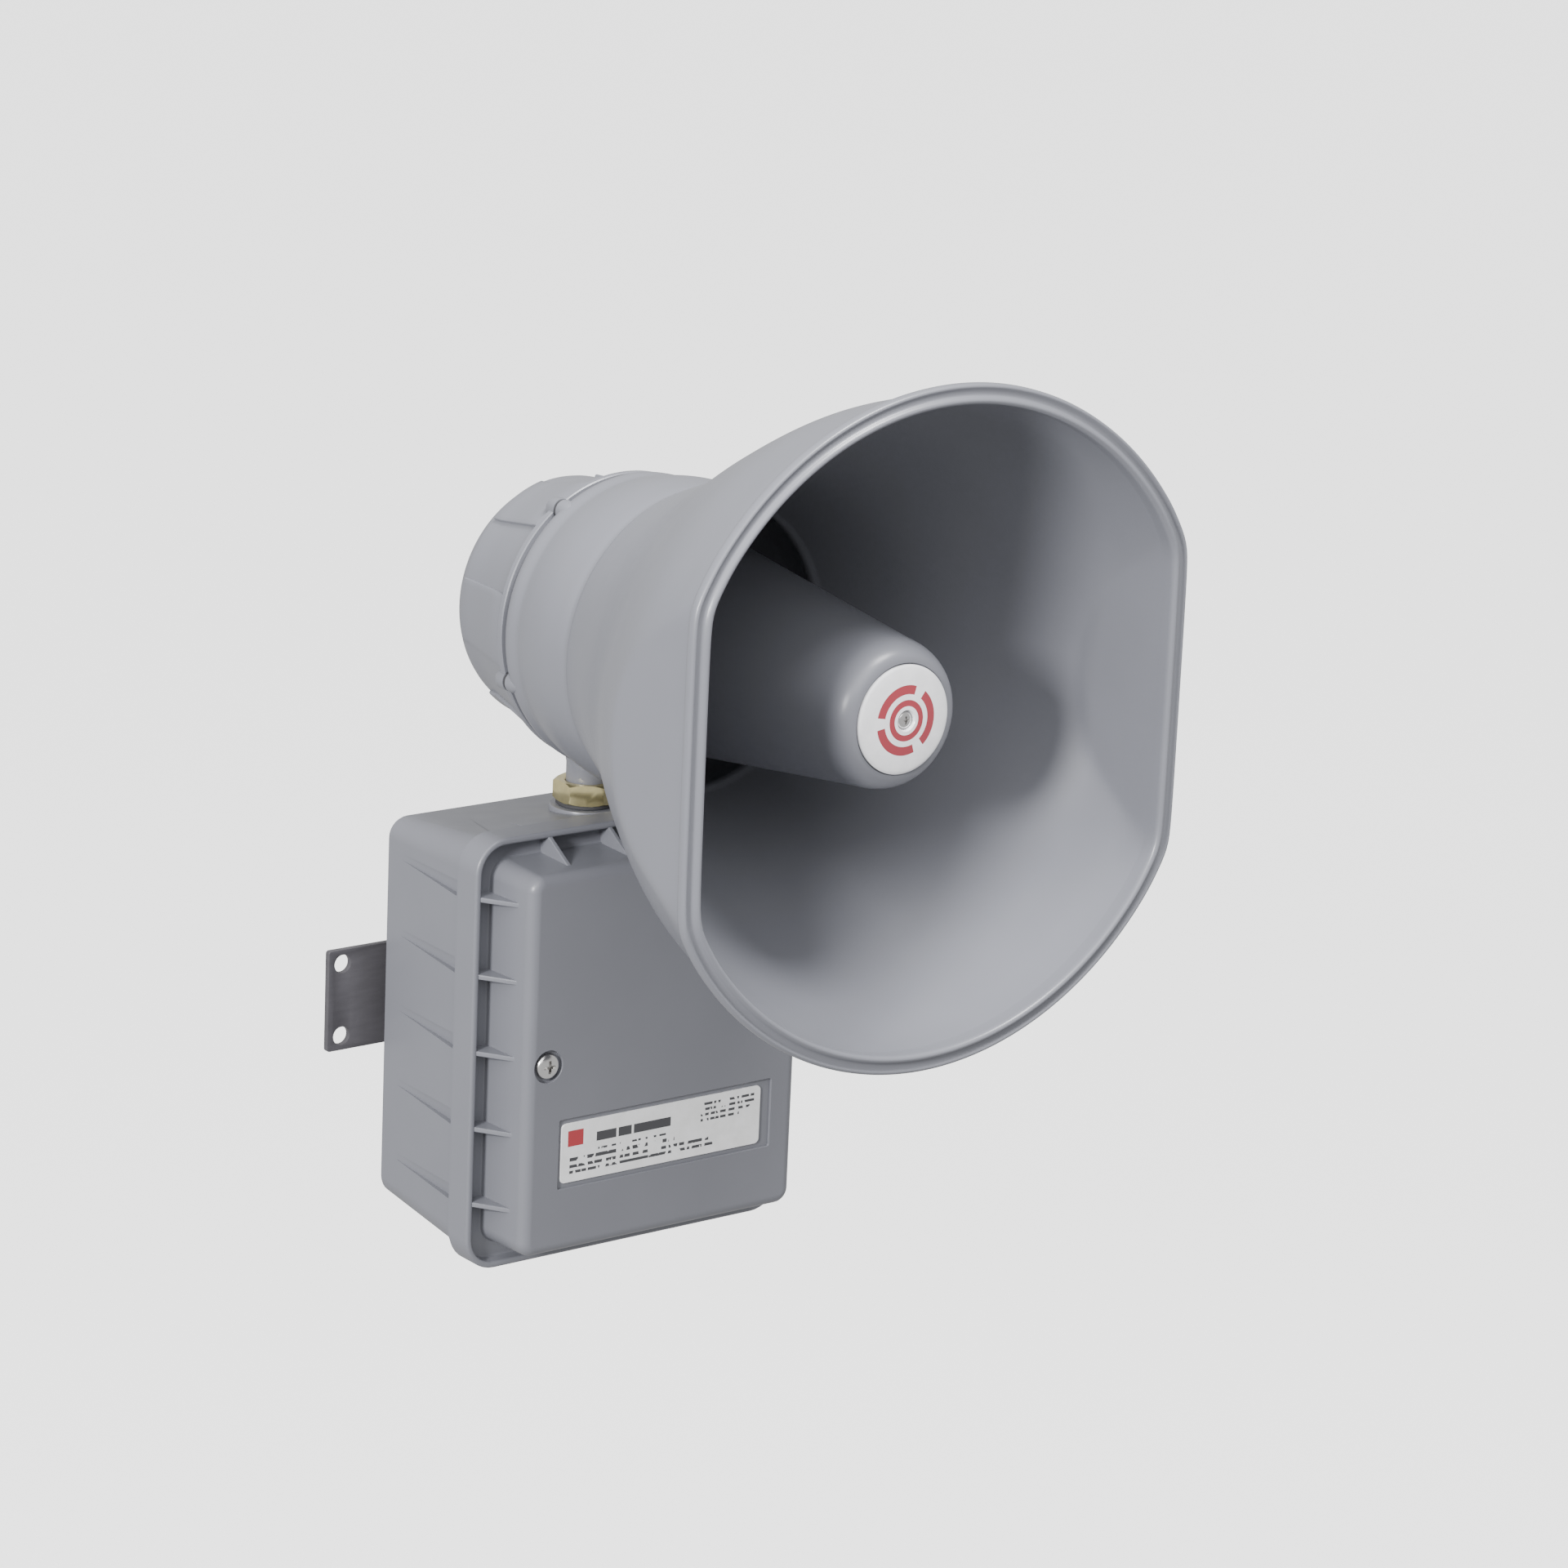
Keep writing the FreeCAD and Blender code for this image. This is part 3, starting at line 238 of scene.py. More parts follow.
def moulded(name, rings, centre=(0.0, BOX_Z), segments=7, smooth=35.0):
    """Box moulding: rounded rectangles (half width, half height, corner radius, y)
    joined in pairs and welded, with the first and last filled in."""
    clear_selection()
    piece = None
    marks = 0

    def choose_marks(*wanted):
        layer = bmesh.from_edit_mesh(piece.data).verts.layers.int["mark"]
        choose("VERT", lambda v: v[layer] in wanted)

    for pair in zip(rings, rings[1:]):
        for half_x, half_z, corner, y in pair:
            spot = (centre[0], y, centre[1])
            bpy.ops.mesh.primitive_plane_add(size=2, location=spot, rotation=(math.pi / 2, 0, 0))
            if piece is None:
                piece = take(name)
                bpy.ops.mesh.select_all(action="SELECT")
            bpy.ops.transform.resize(value=(half_x, 1, half_z), center_override=spot)
            bpy.ops.mesh.bevel(offset=corner, segments=segments, affect="VERTICES", clamp_overlap=False)
            bpy.ops.mesh.delete(type="ONLY_FACE")
            grid = bmesh.from_edit_mesh(piece.data)
            layer = grid.verts.layers.int.get("mark") or grid.verts.layers.int.new("mark")
            marks += 1
            for vertex in grid.verts:
                vertex[layer] = vertex[layer] or marks
            bmesh.update_edit_mesh(piece.data)
        choose_marks(marks - 1, marks)
        bpy.ops.mesh.bridge_edge_loops()
    for mark in (1, marks):
        choose_marks(mark)
        bpy.ops.mesh.edge_face_add()
    bpy.ops.mesh.select_all(action="SELECT")
    bpy.ops.mesh.remove_doubles(threshold=0.001 * MM)
    put_down(piece, smooth)
    piece.data.attributes.remove(piece.data.attributes["mark"])
    return piece


def apply_modifier(piece, kind, **values):
    activate(piece)
    modifier = piece.modifiers.new(kind.lower(), kind)
    for key, value in values.items():
        setattr(modifier, key, value)
    bpy.ops.object.modifier_apply(modifier=modifier.name)
    return piece


def carve(piece, cutter, operation="DIFFERENCE"):
    """Cut a tool shape out of a piece, or fuse or intersect it, and drop the tool."""
    apply_modifier(piece, "BOOLEAN", object=cutter, operation=operation, solver="EXACT")
    bpy.data.objects.remove(cutter)
    return piece


def join(piece, others):
    activate(piece)
    for other in others:
        other.select_set(True)
    bpy.ops.object.join()
    return piece


def block(name, low, high):
    """Box between two corners, left open in edit mode with all of it selected."""
    clear_selection()
    low, high = Vector(low), Vector(high)
    spot = (low + high) / 2
    bpy.ops.mesh.primitive_cube_add(size=1, location=spot)
    piece = take(name)
    bpy.ops.transform.resize(value=tuple(high - low), center_override=tuple(spot))
    return piece


def resmooth(piece, angle=35.0):
    activate(piece)
    bpy.ops.object.shade_smooth_by_angle(angle=math.radians(angle))
    return piece


def flat_faces(piece, angle=30.0):
    """Smooth a moulding so that its large faces stay evenly lit up to their rounded edges."""
    resmooth(piece, angle)
    return apply_modifier(piece, "WEIGHTED_NORMAL", keep_sharp=True, weight=90)


def arc(centre, radius, start, end, steps):
    """(place, radius) points along an arc; angles in degrees from the +radius side."""
    points = []
    for k in range(steps + 1):
        a = math.radians(start + (end - start) * k / steps)
        points.append((centre[0] + radius * math.sin(a), centre[1] + radius * math.cos(a)))
    return points


def curve_through(points, steps):
    """Smooth points through a few knots, as a Catmull-Rom curve."""
    knots = [points[0]] + list(points) + [points[-1]]
    line = []
    for a, b, c, d in zip(knots, knots[1:], knots[2:], knots[3:]):
        for k in range(steps):
            t = k / steps
            spot = []
            for i in range(2):
                m0 = (c[i] - a[i]) / 2
                m1 = (d[i] - b[i]) / 2
                h = 2 * t**3 - 3 * t**2 + 1
                spot.append(h * b[i] + (1 - h) * c[i] + (t**3 - 2 * t**2 + t) * m0 + (t**3 - t**2) * m1)
            line.append(tuple(spot))
    line.append(tuple(points[-1]))
    return line


def polar(radius, degrees):
    a = math.radians(degrees)
    return radius * math.cos(a), HORN_Z + radius * math.sin(a)


# ----------------------------------------------------------------- materials


def node(tree, kind, **inputs):
    made = tree.nodes.new(kind)
    for key, value in inputs.items():
        made.inputs[key.replace("_", " ")].default_value = value
    return made


def blank_material(name):
    material = bpy.data.materials.new(name)
    material.use_nodes = True
    tree = material.node_tree
    shader = tree.nodes["Principled BSDF"]
    coords = tree.nodes.new("ShaderNodeTexCoord").outputs["Object"]
    return material, tree, shader, coords


def noise(tree, coords, size, detail=3.0, stretch=None):
    """Noise whose blotches are about `size` metres across."""
    if stretch:
        mapping = node(tree, "ShaderNodeMapping", Scale=stretch)
        tree.links.new(coords, mapping.inputs["Vector"])
        coords = mapping.outputs["Vector"]
    made = node(tree, "ShaderNodeTexNoise", Scale=1 / size, Detail=detail, Roughness=0.55)
    tree.links.new(coords, made.inputs["Vector"])
    return made.outputs["Fac"]


def ramp(tree, value, low, high, start=0.35, end=0.65):
    """Value remapped from start..end to low..high."""
    made = node(tree, "ShaderNodeMapRange", From_Min=start, From_Max=end, To_Min=low, To_Max=high)
    tree.links.new(value, made.inputs["Value"])
    return made.outputs["Result"]


def blend_colours(tree, factor, first, second):
    """Mix of two colours; each is a colour tuple or an output socket."""
    made = tree.nodes.new("ShaderNodeMix")
    made.data_type = "RGBA"
    tree.links.new(factor, made.inputs["Factor"])
    for slot, colour in ((6, first), (7, second)):
        if isinstance(colour, tuple):
            made.inputs[slot].default_value = (*colour, 1.0)
        else:
            tree.links.new(colour, made.inputs[slot])
    return made.outputs[2]


def math_node(tree, operation, first, second=None):
    made = tree.nodes.new("ShaderNodeMath")
    made.operation = operation
    for slot, value in enumerate((first, second)):
        if value is None:
            continue
        if isinstance(value, (int, float)):
            made.inputs[slot].default_value = value
        else:
            tree.links.new(value, made.inputs[slot])
    return made.outputs[0]


def add_bump(tree, shader, height, distance, strength=1.0):
    made = node(tree, "ShaderNodeBump", Strength=strength, Distance=distance)
    tree.links.new(height, made.inputs["Height"])
    tree.links.new(made.outputs["Normal"], shader.inputs["Normal"])


def shade(colour, k):
    return tuple(min(1.0, c * k) for c in colour)


def plain_finish(name, colour, roughness=0.5, metallic=0.0, vary=0.08, patch=12 * MM,
                 grain=0.6 * MM, depth=0.02 * MM, stretch=None, sheen=0.0):
    """Moulded, plated or painted finish: faint blotches, uneven gloss and a fine grain."""
    material, tree, shader, coords = blank_material(name)
    blotch = noise(tree, coords, patch, 2.0, stretch)
    tint = blend_colours(tree, ramp(tree, blotch, 0.0, 1.0, 0.1, 0.9),
                         shade(colour, 1 - vary), shade(colour, 1 + vary))
    tree.links.new(tint, shader.inputs["Base Color"])
    gloss = noise(tree, coords, patch * 0.4, 1.5, stretch)
    tree.links.new(ramp(tree, gloss, roughness * 0.9, roughness * 1.1, 0.2, 0.8), shader.inputs["Roughness"])
    shader.inputs["Metallic"].default_value = metallic
    if sheen:
        shader.inputs["Sheen Weight"].default_value = sheen
    add_bump(tree, shader, noise(tree, coords, grain, 2.0, stretch), depth)
    return material


def striped_finish(name, colour, dark, pitch, axis, roughness=0.45, metallic=0.0, depth=0.05 * MM):
    """Layers or turns that run across one axis, such as laminations or wire."""
    material, tree, shader, coords = blank_material(name)
    parts = tree.nodes.new("ShaderNodeSeparateXYZ")
    tree.links.new(coords, parts.inputs[0])
    wave = math_node(tree, "SINE", math_node(tree, "MULTIPLY", parts.outputs[axis], 2 * math.pi / pitch))
    factor = ramp(tree, wave, 0.0, 1.0, -0.6, 0.9)
    tint = blend_colours(tree, factor, dark, colour)
    tree.links.new(tint, shader.inputs["Base Color"])
    tree.links.new(ramp(tree, noise(tree, coords, 3 * MM), roughness * 0.8, roughness * 1.2),
                   shader.inputs["Roughness"])
    shader.inputs["Metallic"].default_value = metallic
    add_bump(tree, shader, factor, depth)
    return material


def board_finish(name, mask, trace):
    """Solder-masked board with etched tracks showing through as a raised brick net."""
    material, tree, shader, coords = blank_material(name)
    mapping = node(tree, "ShaderNodeMapping", Rotation=(math.pi / 2, 0, 0))
    tree.links.new(coords, mapping.inputs["Vector"])
    tracks = node(tree, "ShaderNodeTexBrick", Scale=1.0)
    tracks.inputs["Brick Width"].default_value = 9 * MM
    tracks.inputs["Row Height"].default_value = 3.4 * MM
    tracks.inputs["Mortar Size"].default_value = 0.35 * MM
    tracks.inputs["Mortar Smooth"].default_value = 0.1
    tree.links.new(mapping.outputs["Vector"], tracks.inputs["Vector"])
    cloud = ramp(tree, noise(tree, coords, 8 * MM), 0.0, 1.0)
    base = blend_colours(tree, cloud, shade(mask, 0.88), shade(mask, 1.1))
    tree.links.new(blend_colours(tree, tracks.outputs["Fac"], base, trace), shader.inputs["Base Color"])
    shader.inputs["Roughness"].default_value = 0.32
    add_bump(tree, shader, tracks.outputs["Fac"], 0.04 * MM)
    return material


def woven_finish(name, colour, dark, pitch):
    """Resin-filled cloth: two crossed waves of thread."""
    material, tree, shader, coords = blank_material(name)
    parts = tree.nodes.new("ShaderNodeSeparateXYZ")
    tree.links.new(coords, parts.inputs[0])
    waves = []
    for axis in (0, 2):
        turn = math_node(tree, "MULTIPLY", parts.outputs[axis], 2 * math.pi / pitch)
        waves.append(math_node(tree, "SINE", turn))
    weave = ramp(tree, math_node(tree, "MULTIPLY", waves[0], waves[1]), 0.0, 1.0, -0.8, 0.8)
    tree.links.new(blend_colours(tree, weave, dark, colour), shader.inputs["Base Color"])
    shader.inputs["Roughness"].default_value = 0.5
    add_bump(tree, shader, weave, 0.03 * MM)
    return material


def glass_finish(name):
    material, tree, shader, coords = blank_material(name)
    tint = blend_colours(tree, noise(tree, coords, 2 * MM), (0.86, 0.92, 0.9), (0.95, 0.97, 0.96))
    tree.links.new(tint, shader.inputs["Base Color"])
    shader.inputs["Roughness"].default_value = 0.05
    shader.inputs["IOR"].default_value = 1.5
    shader.inputs["Transmission Weight"].default_value = 0.85
    return material


def band(tree, value, low, high):
    """1 where the value lies between low and high, else 0."""
    above = math_node(tree, "GREATER_THAN", value, low)
    below = math_node(tree, "LESS_THAN", value, high)
    return math_node(tree, "MULTIPLY", above, below)


def rectangle(tree, across, up, x0, x1, z0, z1):
    return math_node(tree, "MULTIPLY", band(tree, across, x0, x1), band(tree, up, z0, z1))


def label_print(name):
    """White film printed with plain bars, a block and rows of dashes; no lettering."""
    material, tree, shader, coords = blank_material(name)
    parts = tree.nodes.new("ShaderNodeSeparateXYZ")
    tree.links.new(coords, parts.inputs[0])
    middle_z = (label_low.z + label_high.z) / 2
    across = parts.outputs["X"]
    up = math_node(tree, "SUBTRACT", parts.outputs["Z"], middle_z)
    paper = blend_colours(tree, ramp(tree, noise(tree, coords, 6 * MM), 0.0, 1.0),
                          (0.80, 0.80, 0.80), (0.88, 0.88, 0.89))
    dashes = noise(tree, coords, 2.1 * MM, 1.0, (1.0, 0.0, 0.25))
    words = math_node(tree, "GREATER_THAN", dashes, 0.47)
    rows = [(-42, 6, -3.5, -2.1), (-42, -6, -6.1, -4.9), (0, 22, -6.1, -4.9), (-42, 24, -8.3, -7.2),
            (-30, 2, -0.7, 0.1), (16, 43, 8.0, 9.0), (16, 43, 5.9, 6.9), (18, 41, 3.8, 4.8),
            (18, 36, 1.7, 2.7)]
    ink = None
    for x0, x1, z0, z1 in rows:
        row = rectangle(tree, across, up, x0 * MM, x1 * MM, z0 * MM, z1 * MM)
        ink = row if ink is None else math_node(tree, "MAXIMUM", ink, row)
    ink = math_node(tree, "MULTIPLY", ink, words)
    for x0, x1, z0, z1 in [(-30, -21, 2.6, 6.2), (-20, -14, 2.6, 6.2), (-13, 4, 2.6, 6.2)]:
        bar = rectangle(tree, across, up, x0 * MM, x1 * MM, z0 * MM, z1 * MM)
        ink = math_node(tree, "MAXIMUM", ink, bar)
    printed = blend_colours(tree, ink, paper, (0.055, 0.055, 0.06))
    red = rectangle(tree, across, up, -43 * MM, -36 * MM, 2.4 * MM, 8.6 * MM)
    tree.links.new(blend_colours(tree, red, printed, (0.40, 0.04, 0.05)), shader.inputs["Base Color"])
    shader.inputs["Roughness"].default_value = 0.35
    add_bump(tree, shader, noise(tree, coords, 1.2 * MM), 0.01 * MM)
    return material


def medallion_print(name):
    """White enamel with a deep red ring broken in three places and a whole deep red ring inside it."""
    material, tree, shader, coords = blank_material(name)
    parts = tree.nodes.new("ShaderNodeSeparateXYZ")
    tree.links.new(coords, parts.inputs[0])
    x = parts.outputs["X"]
    z = math_node(tree, "SUBTRACT", parts.outputs["Z"], HORN_Z)
    squares = math_node(tree, "ADD", math_node(tree, "MULTIPLY", x, x), math_node(tree, "MULTIPLY", z, z))
    radius = math_node(tree, "SQRT", squares)
    angle = math_node(tree, "ARCTAN2", z, x)
    petals = math_node(tree, "COSINE", math_node(tree, "MULTIPLY", angle, 3.0))
    gaps = math_node(tree, "GREATER_THAN", petals, -0.86)
    outer = math_node(tree, "MULTIPLY", band(tree, radius, 9.4 * MM, 12.6 * MM), gaps)
    inner = band(tree, radius, 5.2 * MM, 7.4 * MM)
    ink = math_node(tree, "MAXIMUM", outer, inner)
    enamel = blend_colours(tree, ramp(tree, noise(tree, coords, 7 * MM), 0.0, 1.0),
                           (0.80, 0.80, 0.82), (0.88, 0.88, 0.90))
    tree.links.new(blend_colours(tree, ink, enamel, (0.32, 0.035, 0.05)), shader.inputs["Base Color"])
    shader.inputs["Roughness"].default_value = 0.16
    shader.inputs["Coat Weight"].default_value = 0.6
    shader.inputs["Coat Roughness"].default_value = 0.06
    add_bump(tree, shader, math_node(tree, "SUBTRACT", 1.0, ink), 0.03 * MM)
    return material


GREY = (0.182, 0.186, 0.210)
MATERIALS = {
    "horn_grey": plain_finish("horn_grey", GREY, 0.33, vary=0.035, patch=40 * MM, grain=0.9 * MM,
                              depth=0.012 * MM),
    "box_grey": plain_finish("box_grey", shade(GREY, 0.95), 0.35, vary=0.04, patch=30 * MM, grain=0.7 * MM,
                             depth=0.02 * MM),
    "dark_moulding": plain_finish("dark_moulding", (0.09, 0.092, 0.1), 0.5),
    "zinc_casting": plain_finish("zinc_casting", (0.42, 0.43, 0.46), 0.42, 0.85, vary=0.1, grain=0.8 * MM,
                                 depth=0.05 * MM),
    "bracket_steel": plain_finish("bracket_steel", (0.10, 0.096, 0.106), 0.42, 0.35, vary=0.12, patch=9 * MM,
                                  stretch=(1, 1, 5)),
    "steel_screws": plain_finish("steel_screws", (0.74, 0.73, 0.72), 0.24, 1.0, vary=0.06, patch=3 * MM,
                                 grain=0.3 * MM, depth=0.006 * MM),
    "seal_rubber": plain_finish("seal_rubber", (0.04, 0.04, 0.044), 0.7, vary=0.2, patch=4 * MM),
    "yellow_zinc": plain_finish("yellow_zinc", (0.86, 0.76, 0.40), 0.2, 0.95, vary=0.14, patch=5 * MM,
                                grain=0.5 * MM, depth=0.01 * MM),
    "zinc_plated_steel": plain_finish("zinc_plated_steel", (0.62, 0.63, 0.65), 0.3, 1.0, patch=5 * MM),
    "ferrite": plain_finish("ferrite", (0.05, 0.05, 0.055), 0.62, vary=0.2, patch=2 * MM, depth=0.05 * MM),
    "black_plastic": plain_finish("black_plastic", (0.03, 0.03, 0.033), 0.4, vary=0.15),
    "phenolic_cloth": woven_finish("phenolic_cloth", (0.42, 0.22, 0.1), (0.26, 0.12, 0.05), 1.1 * MM),
    "copper_wire": striped_finish("copper_wire", (0.75, 0.36, 0.2), (0.35, 0.14, 0.07), 0.4 * MM, 1,
                                  0.3, 1.0),
    "brass_tabs": plain_finish("brass_tabs", (0.74, 0.58, 0.28), 0.28, 1.0, patch=3 * MM),
    "board_green": board_finish("board_green", (0.03, 0.16, 0.08), (0.10, 0.30, 0.13)),
    "core_laminations": striped_finish("core_laminations", (0.40, 0.40, 0.41), (0.12, 0.11, 0.11), 0.7 * MM,
                                       1, 0.45, 0.8),
    "winding_tape": striped_finish("winding_tape", (0.72, 0.56, 0.18), (0.52, 0.38, 0.1), 5 * MM, 2, 0.35),
    "capacitor_sleeve": plain_finish("capacitor_sleeve", (0.04, 0.06, 0.17), 0.28, vary=0.12, patch=5 * MM),
    "black_aluminium": plain_finish("black_aluminium", (0.05, 0.05, 0.055), 0.36, 0.7, vary=0.15,
                                    patch=4 * MM, stretch=(1, 1, 6)),
    "terminal_green": plain_finish("terminal_green", (0.05, 0.34, 0.14), 0.4, patch=6 * MM),
    "blue_plastic": plain_finish("blue_plastic", (0.06, 0.16, 0.46), 0.38, patch=4 * MM),
    "white_plastic": plain_finish("white_plastic", (0.82, 0.82, 0.79), 0.4, vary=0.04, patch=4 * MM),
    "red_plastic": plain_finish("red_plastic", (0.48, 0.05, 0.04), 0.38, patch=3 * MM),
    "fuse_glass": glass_finish("fuse_glass"),
    "green_screw": plain_finish("green_screw", (0.08, 0.38, 0.14), 0.3, 0.5, patch=3 * MM),
    "black_lead": plain_finish("black_lead", (0.025, 0.025, 0.028), 0.5, vary=0.2, patch=5 * MM),
    "label_film": label_print("label_film"),
    "medallion_white": medallion_print("medallion_white"),
}


def dress(piece, material, slot, body, *nodes):
    """Give a finished piece its material and body, and hide the CAD nodes it stands for; the record slot is
    not used.
    """
    piece.data.materials.clear()
    piece.data.materials.append(MATERIALS[material])
    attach(piece, body)
    if nodes:
        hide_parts(*nodes)
    return piece


def dress_frame():
    """Give every CAD node the finish of its record slot."""
    for part in frame["record"]["subparts"]:
        slot = part["material_slot"]
        finish = MATERIALS["box_grey" if slot == "grey_moulding" else slot]
        cad = frame["nodes"][part["node"]]
        if not cad.material_slots:
            cad.data.materials.append(finish)
        for held in cad.material_slots:
            held.material = finish


# -------------------------------------------------------------------- screws


def cross_screw(name, spot, head_r, head_h, shank_r, length, facing=-1):
    """Pan-head screw with a cross recess; facing is the y side that its head shows."""
    x, y, z = spot
    f = facing
    crown = curve_through([(y, head_r * 0.98), (y + f * head_h * 0.3, head_r),
                           (y + f * head_h * 0.7, head_r * 0.86), (y + f * head_h * 0.93, head_r * 0.5),
                           (y + f * head_h, head_r * 0.12)], 3)
    shank = [(y - f * length, shank_r * 0.5), (y - f * (length - shank_r * 0.6), shank_r), (y, shank_r)]
    screw = turned(name, shank + crown, (x, z), segments=32, closed=False)
    top = y + f * (head_h + 0.5 * MM)
    deep = y + f * head_h * 0.25
    for wide, tall in ((0.56, 0.13), (0.13, 0.56)):
        low = (x - head_r * wide, min(top, deep), z - head_r * tall)
        high = (x + head_r * wide, max(top, deep), z + head_r * tall)
        arm = block("arm", low, high)
        choose("FACE", lambda face: abs(middle(face).y - deep) < 0.01 * MM)
        bpy.ops.transform.resize(value=(0.6, 1, 0.6), center_override=(x, deep, z))
        carve(screw, put_down(arm))
    return resmooth(screw, 40)


def seam_spots():
    """Places of the four screws round the seam, two a side."""
    return [polar(SEAM_SCREW_R, angle) for angle in SEAM_SCREW_ANGLES]


# ---------------------------------------------------------------- horn bell
def bell_profile():
    """(y, radius, half width) rings: outside, beaded rim, then back along the inside."""
    lip_r = MOUTH_R - 3.5 * MM
    lip_y = MOUTH_Y + 6.7 * MM
    flare_y = BARREL_Y - 46.5 * MM
    span = lip_y - flare_y
    flare_r = 59.5 * MM
    gain = lip_r - flare_r
    flare = [(flare_y, flare_r)]
    flare += [(flare_y + span * t, flare_r + gain * k) for t, k in
              ((0.244, 0.237), (0.504, 0.573), (0.726, 0.822), (0.911, 0.949))]
    flare.append((lip_y, lip_r))
    barrel = [(BARREL_Y, 53.0 * MM), (BARREL_Y - 0.5 * MM, 54.0 * MM), (BARREL_Y - 1.6 * MM, 55.2 * MM),
              (BARREL_Y - 3.2 * MM, 55.9 * MM), (BARREL_Y - 5.0 * MM, 56.1 * MM),
              (BARREL_Y - 6.8 * MM, 55.8 * MM), (BARREL_Y - 8.6 * MM, 55.5 * MM)]
    swell = curve_through([(BARREL_Y - 10.0 * MM, 55.6 * MM), (BARREL_Y - 18 * MM, 57.6 * MM),
                           (BARREL_Y - 28 * MM, 58.9 * MM), (BARREL_Y - 38 * MM, 58.6 * MM),
                           (flare_y + 4 * MM, 57.9 * MM)], 5)
    swell += [(flare_y + 2.2 * MM, 58.0 * MM), (flare_y + 0.9 * MM, 58.6 * MM)]
    outside = barrel + swell + curve_through(flare, 15)
    rim = [(5.9, 3.0), (5.7, 2.0), (5.4, 0.9), (4.8, 0.3), (3.9, 0.0), (2.6, 0.0), (1.7, 0.2), (1.2, 0.6),
           (1.0, 1.1), (1.2, 1.6), (1.7, 2.0), (1.8, 2.6), (1.8, 3.6), (1.6, 4.1), (1.1, 4.5), (0.4, 4.9),
           (0.0, 5.5), (0.0, 6.1), (0.4, 6.7), (1.1, 7.1), (2.4, 7.25)]
    beads = [(MOUTH_Y + y * MM, MOUTH_R - r * MM) for y, r in rim]
    inside = [(y, r - BELL_WALL) for y, r in reversed(swell + curve_through(flare, 15))]
    inside += [(BARREL_Y - 5 * MM, 52.0 * MM), (BARREL_Y - 1 * MM, 50.2 * MM), (BARREL_Y, 50.2 * MM)]
    rings = [(y, r, MOUTH_HALF_W - 3.5 * MM, crease_at(y)) for y, r in outside]
    rings += [(y, r, MOUTH_HALF_W - (MOUTH_R - r), RIM_CREASE) for y, r in beads]
    rings += [(y, r, MOUTH_HALF_W - 7.0 * MM, crease_at(y)) for y, r in inside]
    return rings


def crease_at(y):
    """Softness of the crease, which grows towards the rim."""
    near = max(0.0, 1 - (y - MOUTH_Y) / (22 * MM))
    return BODY_CREASE + (RIM_CREASE - BODY_CREASE) * min(1.0, near * 1.4)


def flatten_sides(piece, rings, segments):
    """Press the two sides of a turned shell flat, with a soft crease round each flat."""
    for number, vertex in enumerate(piece.data.vertices):
        half, crease = rings[number // segments][2:]
        over = abs(vertex.co.x) - half
        pressed = half + (over - math.hypot(over, crease)) / 2
        fade = max(0.0, min(1.0, (over + 4 * crease) / (2 * crease)))
        vertex.co.x = math.copysign(abs(vertex.co.x) * (1 - fade) + pressed * fade, vertex.co.x)


def horn_bell():
    """Barrel, flare, flat sides and beaded mouth, with the seam bosses."""
    rings = bell_profile()
    bell = turned("bell", [ring[:2] for ring in rings], (0, HORN_Z), segments=RING_SEGMENTS, smooth=50)
    flatten_sides(bell, rings, RING_SEGMENTS)
    bosses = []
    for x, z in seam_spots():
        profile = [(BARREL_Y, 1.7 * MM), (BARREL_Y, BOSS_R), (BARREL_Y - 3 * MM, 3.9 * MM),
                   (BARREL_Y - 5.4 * MM, 3.2 * MM), (BARREL_Y - 6.6 * MM, 2.2 * MM),
                   (BARREL_Y - 6.8 * MM, 1.7 * MM)]
        bosses.append(turned("boss", profile, (x, z), segments=32))
    join(bell, bosses)
    dress(bell, "horn_grey", "grey_moulding", "horn", "horn_bell")


